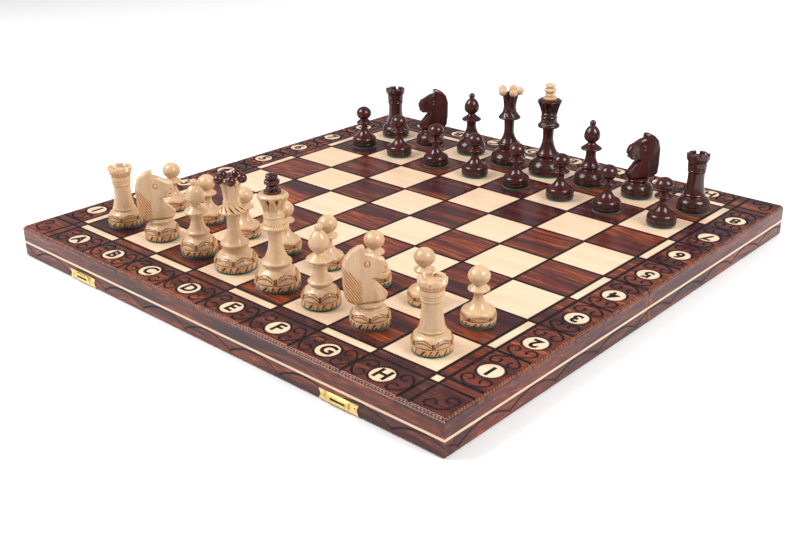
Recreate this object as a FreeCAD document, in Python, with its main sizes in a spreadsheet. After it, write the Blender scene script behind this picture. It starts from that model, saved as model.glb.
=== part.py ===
import FreeCAD, Part
import math
import os
import re

import Sketcher

# A wooden folding chess set. The board is two shallow trays, open underneath, that are hinged
# along the middle and fold with the playing surfaces outside. Thirty-two turned men stand on it.
# +X runs from file a to file h, +Y from rank 1 to rank 8 and +Z up. The origin is at the middle
# of the open board, on the surface that it stands on. Sizes are in millimetres and degrees.

SIZES = {
    # playing surface
    "square_pitch": 50, "line_width": 2, "line_depth": 0.4, "ring_pitch": 9.25, "border_width": 40,
    "veneer_thickness": 0.8, "medallion_diameter": 18.5, "medallion_inset": 24.5,
    # trays
    "tray_depth": 27, "panel_thickness": 4.5, "panel_chamfer": 2.2, "rail_width": 8,
    "inlay_height": 2, "inlay_depth": 1.2, "inlay_above_rim": 11.2, "lining_thickness": 0.8,
    "fold_clearance": 0.5, "closed_gap": 0.3,
    # butt hinges let into the rims of the two middle rails
    "hinge_spacing": 300, "hinge_length": 32, "hinge_leaf_margin": 0.7, "hinge_leaf_thickness": 0.8,
    "hinge_barrel_radius": 1, "hinge_pin_radius": 0.5, "hinge_play": 0.05, "hinge_knuckle_gap": 0.3,
    "hinge_recess_play": 0.3, "screw_spacing": 20, "screw_head_radius": 1.3, "screw_head_height": 0.6,
    "screw_shank_radius": 0.7, "screw_length": 5.5,
    # snap latches on the two end rails
    "latch_spacing": 300, "latch_length": 37, "latch_height": 8, "latch_plate": 0.5,
    "latch_notch": 2, "housing_length": 19.5, "housing_height": 5.6, "housing_proud": 1.6,
    "slot_length": 14, "slot_height": 1.8, "slot_above_rim": 4.2, "nail_spacing": 28,
    "nail_head_radius": 1.1, "nail_head_height": 0.5, "nail_shank_radius": 0.5, "nail_length": 5,
    "flap_axis_height": 4.5, "flap_axis_proud": 1.6, "flap_barrel_radius": 0.9,
    "flap_pin_radius": 0.4, "flap_play": 0.05, "flap_knuckle": 8, "flap_side_knuckle": 4,
    "flap_width": 12, "flap_thickness": 0.6, "flap_tail": 1.2, "flap_lip_height": 1,
    "flap_lip_depth": 0.9,
    # all men
    "felt_thickness": 1.5, "felt_inset": 0.5, "foot_edge": 0.6, "foot_groove": 0.7,
    # pawn
    "pawn_height": 43, "pawn_base": 26, "pawn_foot": 5.2, "pawn_shoulder": 22.4,
    "pawn_shoulder_height": 10.8, "pawn_dome_round": 8, "pawn_stem": 6.4, "pawn_stem_height": 22,
    "pawn_stem_round": 12.3, "pawn_collar": 16.3, "pawn_collar_height": 25,
    "pawn_collar_thickness": 2, "pawn_neck": 7.6, "pawn_neck_height": 29.9, "pawn_head": 16,
    "pawn_head_height": 36.4, "pawn_head_round": 7.4,
    # rook
    "rook_height": 53, "rook_base": 29.5, "rook_foot": 6.4, "rook_shoulder": 18.8,
    "rook_shoulder_height": 14, "rook_dome_round": 7.6, "rook_ring": 20.2,
    "rook_ring_height": 14.6, "rook_ring_thickness": 2.2, "rook_flare": 18.4, "rook_stem": 14.6,
    "rook_stem_height": 32, "rook_stem_round": 60, "rook_bead": 16.8, "rook_bead_height": 36.8,
    "rook_bead_thickness": 1.8, "rook_bead_gap": 0.4, "rook_waist": 16.8,
    "rook_waist_height": 45.4, "rook_turret": 20.4, "rook_parapet": 3.6, "rook_well": 14.4,
    "rook_well_depth": 3.2, "rook_notch": 2.8,
    # bishop
    "bishop_height": 63.5, "bishop_base": 30, "bishop_foot": 6.8, "bishop_shoulder": 15.8,
    "bishop_shoulder_height": 15.6, "bishop_dome_round": 12, "bishop_ring": 19.4,
    "bishop_ring_height": 17.6, "bishop_ring_thickness": 2.4, "bishop_flare": 16.4,
    "bishop_stem": 9.8, "bishop_stem_height": 31, "bishop_stem_round": 18, "bishop_collar": 20.4,
    "bishop_collar_height": 35.2, "bishop_collar_thickness": 1.8, "bishop_throat": 8.8,
    "bishop_throat_height": 40.6, "bishop_neck": 7.2, "bishop_neck_height": 42.4,
    "bishop_head": 15.5, "bishop_head_height": 48.8, "bishop_head_round": 6.5,
    "bishop_head_slope": 12, "bishop_tip": 4.4, "bishop_ball": 6.2,
    # knight
    "knight_height": 59.8, "knight_base": 29.5, "knight_foot": 6.6, "knight_shoulder": 18.8,
    "knight_shoulder_height": 13.8, "knight_dome_round": 9, "knight_ring": 20.4,
    "knight_ring_height": 15.2, "knight_ring_thickness": 2.2, "knight_pedestal": 17,
    "knight_pedestal_height": 18, "knight_head_length": 31.6, "knight_head_thickness": 13,
    "knight_head_chamfer": 1.6, "white_knight_turn": 57, "black_knight_turn": 238,
    # queen
    "queen_height": 78.5, "queen_base": 35, "queen_foot": 7, "queen_shoulder": 20,
    "queen_shoulder_height": 14.8, "queen_dome_round": 13, "queen_ring": 23.4,
    "queen_ring_height": 19.6, "queen_ring_thickness": 2.8, "queen_flare": 19.4,
    "queen_stem": 9.8, "queen_stem_height": 36, "queen_stem_round": 22, "queen_collar": 22.8,
    "queen_collar_height": 46.8, "queen_collar_thickness": 2.4, "queen_throat": 14.4,
    "queen_throat_height": 53.2, "queen_bead": 14, "queen_bead_height": 55,
    "queen_bead_thickness": 1.8, "queen_crown_foot": 12.6, "queen_crown": 18,
    "queen_crown_height": 72.4, "queen_crown_round": 40, "queen_knob": 5.6, "queen_ball": 8,
    "queen_ball_circle": 18.8,
    # king
    "king_height": 90, "king_base": 35.4, "king_foot": 6.6, "king_shoulder": 21,
    "king_shoulder_height": 16.4, "king_dome_round": 15, "king_ring": 24.2,
    "king_ring_height": 18.8, "king_ring_thickness": 2.8, "king_flare": 20.4,
    "king_stem": 10.4, "king_stem_height": 38, "king_stem_round": 30, "king_collar": 22,
    "king_collar_height": 47.2, "king_collar_thickness": 3, "king_throat": 16,
    "king_throat_height": 52.6, "king_bead": 16.8, "king_bead_height": 56,
    "king_bead_thickness": 2.2, "king_crown_foot": 15, "king_crown": 24.6,
    "king_crown_height": 75, "king_crown_bevel": 2.2, "king_crown_top": 19,
    "king_crown_round": 34, "finial_disc": 13.2, "finial_disc_thickness": 1.8,
    "finial_waist": 7.4, "finial_low": 10.4, "finial_middle": 13, "finial_high": 10.4,
    "finial_tier": 3.6, "finial_gap": 0.6,
}

FILES = "abcdefgh"
SQUARES = 8
QUEEN_BALLS = 5
ROOK_CUTS = 3
SETUP = ["rook", "knight", "bishop", "queen", "king", "bishop", "knight", "rook"]

# How far some men stand from the middle of their squares, in X and Y.
OFF_CENTRE = {
    "white_king": (-3, -1.5), "white_queen": (-4, 0.5), "white_bishop_f": (-4.5, -2.5),
    "white_knight_g": (-6, -1.5), "white_rook_h": (1.5, -2), "white_rook_a": (0, -2.5),
    "black_king": (0, 1), "black_queen": (1.5, 3), "black_bishop_c": (1.5, 5.5),
    "black_knight_g": (0.5, 2), "black_rook_h": (8.5, 0), "black_pawn_h": (4, 1.5),
}

doc = FreeCAD.newDocument("ChessSet")
sheet = doc.addObject("Spreadsheet::Sheet", "Sheet")
for row, (alias, number) in enumerate(SIZES.items(), start=1):
    sheet.set("A%d" % row, alias)
    sheet.set("B%d" % row, str(number))
    sheet.setAlias("B%d" % row, alias)
doc.recompute()

NODES = []


def formula(text):
    """The same formula with each size's name pointing at its cell in the sheet."""
    return re.sub(r"[a-z_]+", lambda m: "Sheet." + m[0] if m[0] in SIZES else m[0], text)


def value(text):
    """What a formula comes to."""
    return float(sheet.evalExpression(re.sub(r"Sheet\.", "", formula(text))))


def bind(thing, **formulas):
    """Tie properties to formulas of the sheet's sizes. X, Y and Z are the place."""
    for name, text in formulas.items():
        path = ".Placement.Base." + name.lower() if name in ("X", "Y", "Z") else name
        thing.setExpression(path, formula(text))
    return thing


def box(name, x, y, z, length, width, height):
    """A box from its low corner and its three lengths."""
    thing = doc.addObject("Part::Box", name)
    return bind(thing, X=x, Y=y, Z=z, Length=length, Width=width, Height=height)


def rod(name, x, y, z, radius, length, axis="z"):
    """A cylinder from the middle of its first end along an axis."""
    thing = doc.addObject("Part::Cylinder", name)
    turns = {"x": ((0, 1, 0), 90), "y": ((1, 0, 0), -90), "z": ((0, 0, 1), 0)}
    direction, angle = turns[axis]
    thing.Placement = FreeCAD.Placement(
        FreeCAD.Vector(), FreeCAD.Rotation(FreeCAD.Vector(*direction), angle))
    return bind(thing, X=x, Y=y, Z=z, Radius=radius, Height=length)


def ball(name, x, y, z, radius):
    thing = doc.addObject("Part::Sphere", name)
    return bind(thing, X=x, Y=y, Z=z, Radius=radius)


def fuse(name, things):
    thing = doc.addObject("Part::MultiFuse", name)
    thing.Shapes = things
    return thing


def cut(name, base, tools):
    """base with every tool taken out of it."""
    thing = doc.addObject("Part::Cut", name)
    thing.Base = base
    thing.Tool = tools[0] if len(tools) == 1 else group(name + "_tools", tools)
    return thing


def group(name, things):
    """Separate solids kept side by side in one object."""
    thing = doc.addObject("Part::Compound", name)
    thing.Links = things
    return thing


def node(label, thing):
    thing.Label = label
    NODES.append(thing)
    return thing


def outline(name, corners):
    """A closed upright sketch through corners (across, up), each tied to two formulas. A third entry
    is the radius of the arc that leads on from that corner: it swells outwards on a loop that
    runs anticlockwise, and with a leading minus it is hollow."""
    sketch = doc.addObject("Sketcher::SketchObject", name)
    sketch.Placement = FreeCAD.Placement(
        FreeCAD.Vector(), FreeCAD.Rotation(FreeCAD.Vector(1, 0, 0), 90))
    points = [FreeCAD.Vector(value(c[0]), value(c[1]), 0) for c in corners]
    ends = []
    for i, corner in enumerate(corners):
        start, stop = points[i], points[(i + 1) % len(points)]
        if len(corner) == 2:
            sketch.addGeometry(Part.LineSegment(start, stop), False)
            ends.append((1, 2))
            continue
        hollow = corner[2].startswith("-")
        radius = value(corner[2].lstrip("-"))
        chord = stop - start
        left = FreeCAD.Vector(-chord.y, chord.x, 0) / chord.Length
        rise = math.sqrt(radius ** 2 - (chord.Length / 2) ** 2)
        centre = (start + stop) / 2 + left * (-rise if hollow else rise)
        first, last = (stop, start) if hollow else (start, stop)
        angles = [math.atan2(p.y - centre.y, p.x - centre.x) for p in (first, last)]
        circle = Part.Circle(centre, FreeCAD.Vector(0, 0, 1), radius)
        sketch.addGeometry(Part.ArcOfCircle(circle, angles[0], angles[1]), False)
        ends.append((2, 1) if hollow else (1, 2))
    for i, corner in enumerate(corners):
        after = (i + 1) % len(corners)
        sketch.addConstraint(Sketcher.Constraint("Coincident", i, ends[i][1], after, ends[after][0]))
        for kind, axis, text in (("DistanceX", -2, corner[0]), ("DistanceY", -1, corner[1])):
            if text == "0":
                sketch.addConstraint(Sketcher.Constraint("PointOnObject", i, ends[i][0], axis))
                continue
            at = sketch.addConstraint(
                Sketcher.Constraint(kind, -1, 1, i, ends[i][0], value(text)))
            sketch.setExpression("Constraints[%d]" % at, formula(text))
        if len(corner) == 3:
            text = corner[2].lstrip("-")
            at = sketch.addConstraint(Sketcher.Constraint("Radius", i, value(text)))
            sketch.setExpression("Constraints[%d]" % at, formula(text))
    return sketch


def turned(name, corners):
    """A solid turned on a lathe: the outline carried once round the Z axis."""
    thing = doc.addObject("Part::Revolution", name)
    thing.Source = outline(name + "_profile", corners)
    thing.Axis = FreeCAD.Vector(0, 0, 1)
    thing.Base = FreeCAD.Vector()
    thing.Angle = 360
    thing.Solid = True
    return thing


def sawn(name, corners, ahead, behind="0"):
    """A solid with an upright outline, as thick as ahead along +Y and behind along -Y."""
    thing = doc.addObject("Part::Extrusion", name)
    thing.Base = outline(name + "_outline", corners)
    thing.DirMode = "Custom"
    thing.Dir = FreeCAD.Vector(0, 1, 0)
    thing.Solid = True
    thing.setExpression("LengthFwd", formula(ahead))
    thing.setExpression("LengthRev", formula(behind))
    return thing


# ---- heights and places that many pieces share

AXIS_Z = "hinge_barrel_radius"
RIM = "(hinge_barrel_radius + closed_gap / 2)"
TOP = "(hinge_barrel_radius + closed_gap / 2 + tray_depth)"
PANEL_FOOT = "(hinge_barrel_radius + closed_gap / 2 + tray_depth - panel_thickness)"
FIELD = "(square_pitch * %d / 2)" % SQUARES
EDGE = "(square_pitch * %d / 2 + border_width)" % SQUARES
SEAM = "(fold_clearance / 2)"
LEAF_NEAR = "(fold_clearance / 2 + hinge_barrel_radius + hinge_recess_play)"
LEAF_FAR = "(fold_clearance / 2 + rail_width - hinge_leaf_margin)"


# ---- the two trays

def board_box(name, side, x, near, far, z, length, height):
    """A box on one tray. near and far are distances in Y from the fold, side is -1 or 1."""
    low = "-(%s)" % far if side < 0 else near
    return box(name, x, low, z, length, "(%s) - (%s)" % (far, near), height)


def light_inlays(half, side):
    """The light veneers let into the panel: squares, the narrow strips of the ring round them,
    one corner of the ring, and the round medallions in the border."""
    depth = "veneer_thickness"
    floor = TOP + " - veneer_thickness"
    long_side = "square_pitch - line_width"
    short_side = "ring_pitch - line_width"
    pieces = []

    def slab(x, y, length, width):
        name = "%s_veneer_%d" % (half, len(pieces))
        pieces.append(box(name, x, y, floor, length, width, depth))

    def along(step):
        return "(square_pitch * %d / 2 + line_width / 2)" % (2 * step - SQUARES)

    before = "(-%s - ring_pitch + line_width / 2)" % FIELD
    after = "(%s + line_width / 2)" % FIELD
    ranks = range(SQUARES // 2) if side < 0 else range(SQUARES // 2, SQUARES)
    end = (before, 0) if side < 0 else (after, SQUARES - 1)
    for step in range(SQUARES):
        for rank in ranks:
            if (step + rank) % 2:
                slab(along(step), along(rank), long_side, long_side)
        if (step + end[1]) % 2 == 0:
            slab(along(step), end[0], long_side, short_side)
    for rank in ranks:
        if rank % 2 == 0:
            slab(before, along(rank), short_side, long_side)
        else:
            slab(after, along(rank), short_side, long_side)
    corner = after if side < 0 else before
    slab(corner, end[0], short_side, short_side)

    radius = "medallion_diameter / 2"
    line = "(%s + medallion_inset)" % FIELD
    middles = ["(square_pitch * %d / 2)" % (2 * step + 1 - SQUARES) for step in range(SQUARES)]
    spots = [(x, "%s%s" % ("-" if side < 0 else "", line)) for x in middles]
    spots += [(sign + line, middles[rank]) for rank in ranks for sign in ("-", "")]
    for i, (x, y) in enumerate(spots):
        pieces.append(rod("%s_medallion_%d" % (half, i), x, y, floor, radius, depth))
    return group("%s_light_inlays" % half, pieces)


def burned_lines(half, side):
    """Shallow grooves along every edge of the squares and of the ring, out to the board's edge."""
    floor = TOP + " - line_depth"
    steps = ["(square_pitch * %d / 2)" % (2 * step - SQUARES) for step in range(SQUARES + 1)]
    ring = "(%s + ring_pitch)" % FIELD
    lines = []
    for x in steps + ["-" + ring, ring]:
        lines.append(board_box("%s_line_%d" % (half, len(lines)), side, x + " - line_width / 2",
                               "0", EDGE + " + 1", floor, "line_width", "line_depth + 1"))
    for step in range(1, SQUARES // 2 + 1):
        y = "square_pitch * %d" % step
        lines.append(board_box("%s_line_%d" % (half, len(lines)), side, "-%s - 1" % EDGE,
                               y + " - line_width / 2", y + " + line_width / 2", floor,
                               "2 * %s + 2" % EDGE, "line_depth + 1"))
    lines.append(board_box("%s_line_%d" % (half, len(lines)), side, "-%s - 1" % EDGE,
                           ring + " - line_width / 2", ring + " + line_width / 2", floor,
                           "2 * %s + 2" % EDGE, "line_depth + 1"))
    lines.append(board_box("%s_line_%d" % (half, len(lines)), side, "-%s - 1" % EDGE,
                           "0", "line_width / 2", floor, "2 * %s + 2" % EDGE, "line_depth + 1"))
    return lines


def panel(half, side, inlays):
    """The top of one tray, with bevelled outer edges, pockets for the veneers and the lines."""
    blank = board_box(half + "_panel_blank", side, "-" + EDGE, SEAM, EDGE, PANEL_FOOT,
                      "2 * " + EDGE, "panel_thickness")
    doc.recompute()
    outer = []
    for number, edge in enumerate(blank.Shape.Edges, start=1):
        middle = edge.CenterOfMass
        on_top = abs(middle.z - value(TOP)) < 1e-6
        if on_top and abs(middle.y) > value(SEAM) + 1e-6:
            outer.append(number)
    bevel = doc.addObject("Part::Chamfer", half + "_panel_bevel")
    bevel.Base = blank
    bevel.Edges = [(n, value("panel_chamfer"), value("panel_chamfer")) for n in outer]
    return cut(half + "_panel", bevel, [inlays] + burned_lines(half, side))


def inlay_lines(half, side):
    """The light stringing let into the three outer faces of a tray."""
    low = RIM + " + inlay_above_rim"
    strips = [board_box(half + "_inlay_end", side, "-" + EDGE, EDGE + " - inlay_depth", EDGE, low,
                        "2 * " + EDGE, "inlay_height")]
    for name, x in (("left", "-" + EDGE), ("right", EDGE + " - inlay_depth")):
        strips.append(board_box("%s_inlay_%s" % (half, name), side, x, SEAM, EDGE + " - inlay_depth",
                                low, "inlay_depth", "inlay_height"))
    return group(half + "_inlay_lines", strips)


def tray(half, side, hinge_cuts, end_cuts):
    """One half of the board. The end rail and the middle rail run right across, and the side
    rails stand between them."""
    inlays = light_inlays(half, side)
    lines = inlay_lines(half, side)
    node(half + "_panel", panel(half, side, inlays))
    node(half + "_light_inlays", inlays)
    height = "tray_depth - panel_thickness"
    end = board_box(half + "_end_blank", side, "-" + EDGE, EDGE + " - rail_width", EDGE, RIM,
                    "2 * " + EDGE, height)
    node(half + "_end_rail", cut(half + "_end_rail", end, [lines] + end_cuts))
    middle = board_box(half + "_middle_blank", side, "-" + EDGE, SEAM, SEAM + " + rail_width", RIM,
                       "2 * " + EDGE, height)
    node(half + "_hinge_rail", cut(half + "_hinge_rail", middle, [lines] + hinge_cuts))
    rails = []
    for name, x in (("left", "-" + EDGE), ("right", EDGE + " - rail_width")):
        blank = board_box("%s_%s_blank" % (half, name), side, x, SEAM + " + rail_width",
                          EDGE + " - rail_width", RIM, "rail_width", height)
        rails.append(cut("%s_%s_rail" % (half, name), blank, [lines]))
    node(half + "_side_rails", group(half + "_side_rails", rails))
    node(half + "_inlay_lines", lines)
    lining = board_box(half + "_lining_sheet", side, "-%s + rail_width" % EDGE,
                       SEAM + " + rail_width", EDGE + " - rail_width",
                       PANEL_FOOT + " - lining_thickness", "2 * (%s - rail_width)" % EDGE,
                       "lining_thickness")
    node(half + "_lining", lining)


# ---- hinges and latches

def screws(half, side):
    """Countersunk screws up through the hinge leaves, two to a leaf."""
    out = "((%s + %s) / 2)" % (LEAF_NEAR, LEAF_FAR)
    y = "-" + out if side < 0 else out
    made = []
    for hinge in ("-", ""):
        for place in ("-", "+"):
            x = "%shinge_spacing / 2 %s screw_spacing / 2" % (hinge, place)
            name = "%s_screw_%d" % (half, len(made))
            head = rod(name + "_head", x, y, RIM, "screw_head_radius", "screw_head_height")
            shank = rod(name + "_shank", x, y, RIM, "screw_shank_radius", "screw_length")
            made.append(fuse(name, [head, shank]))
    return made


def nails(half, side):
    """Round-headed nails through the ends of the latch plates, driven in along Y."""
    made = []
    for latch in ("-", ""):
        for place in ("-", "+"):
            x = "%slatch_spacing / 2 %s nail_spacing / 2" % (latch, place)
            z = RIM + " + latch_height / 2"
            face = EDGE + " + latch_plate"
            name = "%s_nail_%d" % (half, len(made))
            if side < 0:
                head = rod(name + "_head", x, "-(%s) - nail_head_height" % face, z,
                           "nail_head_radius", "nail_head_height", "y")
                shank = rod(name + "_shank", x, "-(%s)" % face, z, "nail_shank_radius",
                            "nail_length", "y")
            else:
                head = rod(name + "_head", x, face, z, "nail_head_radius", "nail_head_height", "y")
                shank = rod(name + "_shank", x, face + " - nail_length", z, "nail_shank_radius",
                            "nail_length", "y")
            made.append(fuse(name, [head, shank]))
    return made


def hinge_leaf(half, side, place, holes):
    """A hinge leaf lies in the rim of its middle rail. The white half's leaf has the two outer
    knuckles, held tight on the pin, and the black half's leaf has the one between them."""
    middle = "%shinge_spacing / 2" % place
    third = "(hinge_length / 3)"
    start = "%s - hinge_length / 2" % middle
    name = "%s_leaf_%s" % (half, "left" if place == "-" else "right")
    flat = board_box(name + "_flat", side, start, LEAF_NEAR, LEAF_FAR, RIM,
                     "hinge_length", "hinge_leaf_thickness")
    parts = [flat]
    if side < 0:
        spans = [(start, "%s - hinge_knuckle_gap / 2" % third),
                 ("%s + 2 * %s + hinge_knuckle_gap / 2" % (start, third),
                  "%s - hinge_knuckle_gap / 2" % third)]
        bore = "hinge_pin_radius"
    else:
        spans = [("%s + %s + hinge_knuckle_gap / 2" % (start, third),
                  "%s - hinge_knuckle_gap" % third)]
        bore = "hinge_pin_radius + hinge_play"
    for i, (x, length) in enumerate(spans):
        parts.append(board_box("%s_tab_%d" % (name, i), side, x, "0", LEAF_NEAR, RIM, length,
                               "hinge_leaf_thickness"))
        parts.append(rod("%s_knuckle_%d" % (name, i), x, "0", AXIS_Z, "hinge_barrel_radius",
                         length, "x"))
    hole = rod(name + "_bore", start + " - 1", "0", AXIS_Z, bore, "hinge_length + 2", "x")
    return cut(name, fuse(name + "_solid", parts), [hole] + holes)


def hinge_recess(half, side):
    """What the hinges need out of the middle rails: a bed for each leaf and room for the barrel."""
    cuts = []
    for place in ("-", ""):
        start = "%shinge_spacing / 2 - hinge_length / 2" % place
        name = "%s_recess_%d" % (half, len(cuts))
        cuts.append(board_box(name, side, start, "0", LEAF_FAR, RIM + " - 1",
                              "hinge_length", "hinge_leaf_thickness + 1"))
        cuts.append(rod(name + "_round", start + " - hinge_recess_play", "0", AXIS_Z,
                        "hinge_barrel_radius + hinge_recess_play",
                        "hinge_length + 2 * hinge_recess_play", "x"))
    return cuts


def hinges():
    made = {}
    for half, side in (("white", -1), ("black", 1)):
        fixings = screws(half, side)
        leaves = [hinge_leaf(half, side, place, fixings) for place in ("-", "")]
        node("hinge_leaves_" + half, group("hinge_leaves_" + half, leaves))
        made[half] = (fixings, hinge_recess(half, side) + fixings)
    pins = [rod("hinge_pin_%d" % i, "%shinge_spacing / 2 - hinge_length / 2" % place, "0", AXIS_Z,
                "hinge_pin_radius", "hinge_length", "x") for i, place in enumerate(("-", ""))]
    node("hinge_pins", group("hinge_pins", pins))
    return made


def plate_outline():
    """A plate with fish-tail ends, in its own frame: length across, height up from its foot."""
    half = "latch_length / 2"
    return [("-" + half, "0"), (half, "0"), (half + " - latch_notch", "latch_height / 2"),
            (half, "latch_height"), ("-" + half, "latch_height"),
            ("-%s + latch_notch" % half, "latch_height / 2")]


def latch_catch(place, fixings):
    """The half of a snap latch that stays still: a plate with a raised housing and its slot."""
    x = "%slatch_spacing / 2" % place
    name = "catch_" + ("left" if place == "-" else "right")
    face = "-" + EDGE
    plate = sawn(name + "_plate", plate_outline(), "latch_plate")
    bind(plate, X=x, Y=face + " - latch_plate", Z=RIM)
    middle = RIM + " + slot_above_rim"
    housing = box(name + "_housing", x + " - housing_length / 2", face + " - housing_proud",
                  middle + " - housing_height / 2", "housing_length", "housing_proud",
                  "housing_height")
    slot = box(name + "_slot", x + " - slot_length / 2", face + " - housing_proud - 1",
               middle + " - slot_height / 2", "slot_length", "housing_proud + 2", "slot_height")
    return cut(name, fuse(name + "_solid", [plate, housing]), [slot] + fixings)


def latch_plate(place, fixings):
    """The plate on the other half, with two knuckles and the pin that the flap turns on."""
    x = "%slatch_spacing / 2" % place
    name = "plate_" + ("left" if place == "-" else "right")
    plate = sawn(name + "_flat", plate_outline(), "latch_plate")
    bind(plate, X=x, Y=EDGE, Z=RIM)
    axis_y = EDGE + " + flap_axis_proud"
    axis_z = RIM + " + flap_axis_height"
    reach = "(flap_knuckle / 2 + hinge_knuckle_gap)"
    parts = [plate]
    for i, start in enumerate((x + " - %s - flap_side_knuckle" % reach, x + " + " + reach)):
        parts.append(rod("%s_knuckle_%d" % (name, i), start, axis_y, axis_z, "flap_barrel_radius",
                         "flap_side_knuckle", "x"))
        parts.append(box("%s_web_%d" % (name, i), start, EDGE, axis_z + " - flap_barrel_radius",
                         "flap_side_knuckle", "flap_axis_proud", "2 * flap_barrel_radius"))
    span = "2 * (%s + flap_side_knuckle)" % reach
    start = x + " - %s - flap_side_knuckle" % reach
    pin = rod(name + "_pin", start, axis_y, axis_z, "flap_pin_radius", span, "x")
    return [cut(name, fuse(name + "_solid", parts), [pin] + fixings), pin]


def latch_flap(place):
    """The flap lies up against its own plate when the board is open. Turned down over the rim of
    the closed box, its lip snaps into the slot of the catch."""
    x = "%slatch_spacing / 2" % place
    side = "left" if place == "-" else "right"
    name = "flap_" + side
    axis_y = EDGE + " + flap_axis_proud"
    axis_z = "(%s + flap_axis_height)" % RIM
    reach = "(flap_axis_height + closed_gap + slot_above_rim)"
    inner = axis_y + " - flap_barrel_radius"
    knuckle = rod(name + "_knuckle", x + " - flap_knuckle / 2", axis_y, axis_z,
                  "flap_barrel_radius", "flap_knuckle", "x")
    neck = box(name + "_neck", x + " - flap_knuckle / 2", inner, axis_z, "flap_knuckle",
               "flap_thickness", "2 * flap_barrel_radius")
    leaf = box(name + "_leaf", x + " - flap_width / 2", inner,
               axis_z + " + flap_barrel_radius + hinge_knuckle_gap", "flap_width",
               "flap_thickness", reach + " + flap_tail - flap_barrel_radius - hinge_knuckle_gap")
    lip = box(name + "_lip", x + " - flap_width / 2", inner, axis_z + " + %s - flap_lip_height / 2"
              % reach, "flap_width", "flap_thickness + flap_lip_depth", "flap_lip_height")
    bore = rod(name + "_bore", x + " - flap_knuckle", axis_y, axis_z,
               "flap_pin_radius + flap_play", "2 * flap_knuckle", "x")
    node("latch_flap_" + side, cut(name, fuse(name + "_solid", [knuckle, neck, leaf, lip]), [bore]))


# ---- the men

def foot_of(kind):
    """The foot that all men share: a flat band, a groove above it and a swelling dome."""
    rim = "%s_base / 2" % kind
    top = "%s_foot" % kind
    return [("0", "felt_thickness"), (rim + " - foot_edge", "felt_thickness"),
            (rim, "felt_thickness + foot_edge"), (rim, top + " - foot_groove"),
            (rim + " - foot_groove", top), (rim, top + " + foot_groove", kind + "_dome_round")]


def round_edge(diameter, thickness, low):
    """A disc with a round edge, from its lower to its upper end on the edge's inner side."""
    out = "%s / 2 - %s / 2" % (diameter, thickness)
    return [(out, low, thickness + " * 0.51"), (out, "%s + %s" % (low, thickness))]


def disc(kind, part):
    """One of a man's rings, collars or beads at its own height."""
    name = "%s_%s" % (kind, part)
    return round_edge(name, name + "_thickness", name + "_height")


def ringed_stem(kind):
    """The dome's end, the short neck up to its ring, and the hollow sweep up to the stem."""
    return ([("%s_shoulder / 2" % kind, "%s_shoulder_height" % kind),
             ("%s_shoulder / 2" % kind, "%s_ring_height" % kind)] + disc(kind, "ring")
            + [("%s_flare / 2" % kind, "%s_ring_height + %s_ring_thickness" % (kind, kind),
                "-%s_stem_round" % kind),
               ("%s_stem / 2" % kind, "%s_stem_height" % kind)])


def pawn():
    """The top of the head is a cap of a ball, so the middle of its arc lies on the axis."""
    cap = "(pawn_height - pawn_head_height)"
    cap_round = "((pawn_head / 2)^2 + %s^2) / (2 * %s)" % (cap, cap)
    return turned("pawn", foot_of("pawn") + [
        ("pawn_shoulder / 2", "pawn_shoulder_height", "-pawn_stem_round"),
        ("pawn_stem / 2", "pawn_stem_height"), ("pawn_stem / 2 + 0.4", "pawn_collar_height"),
    ] + disc("pawn", "collar") + [
        ("pawn_neck / 2", "pawn_neck_height", "pawn_head_round"),
        ("pawn_head / 2", "pawn_head_height", cap_round), ("0", "pawn_height")])


def rook():
    """The turret flares above two beads. It has a well in its top, and three notches cut right
    through its wall."""
    floor = "rook_height - rook_well_depth"
    second = "rook_bead_height + rook_bead_thickness + rook_bead_gap"
    waist_foot = second + " + rook_bead_thickness + rook_bead_gap"
    body = turned("rook_turned", foot_of("rook") + ringed_stem("rook") + [
        ("rook_stem / 2", "rook_bead_height"),
    ] + disc("rook", "bead") + round_edge("rook_bead", "rook_bead_thickness", second) + [
        ("rook_waist / 2", waist_foot), ("rook_waist / 2", "rook_waist_height"),
        ("rook_turret / 2", "rook_height - rook_parapet"), ("rook_turret / 2", "rook_height"),
        ("rook_well / 2", "rook_height"), ("rook_well / 2", floor), ("0", floor)])
    notches = []
    for i in range(ROOK_CUTS):
        notch = doc.addObject("Part::Box", "rook_notch_%d" % i)
        bind(notch, Length="rook_turret + 2", Width="rook_notch", Height="rook_well_depth + 1")
        angle = math.radians(180 * i / ROOK_CUTS)
        bind(notch, Z=floor,
             X="-(rook_turret / 2 + 1) * %.9f + rook_notch / 2 * %.9f"
               % (math.cos(angle), math.sin(angle)),
             Y="-(rook_turret / 2 + 1) * %.9f - rook_notch / 2 * %.9f"
               % (math.sin(angle), math.cos(angle)))
        turn = FreeCAD.Rotation(FreeCAD.Vector(0, 0, 1), 180 * i / ROOK_CUTS)
        notch.Placement = FreeCAD.Placement(notch.Placement.Base, turn)
        notches.append(notch)
    return cut("rook", body, notches)


def bishop():
    ball_low = "bishop_height - bishop_ball / 2 - sqrt(bishop_ball ^ 2 / 4 - bishop_tip ^ 2 / 4)"
    return turned("bishop", foot_of("bishop") + ringed_stem("bishop") + [
        ("bishop_stem / 2", "bishop_collar_height"),
    ] + disc("bishop", "collar") + [
        ("bishop_throat / 2", "bishop_throat_height"),
        ("bishop_neck / 2", "bishop_neck_height", "bishop_head_round"),
        ("bishop_head / 2", "bishop_head_height", "bishop_head_slope"),
        ("bishop_tip / 2", ball_low, "bishop_ball / 2"), ("0", "bishop_height")])


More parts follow.
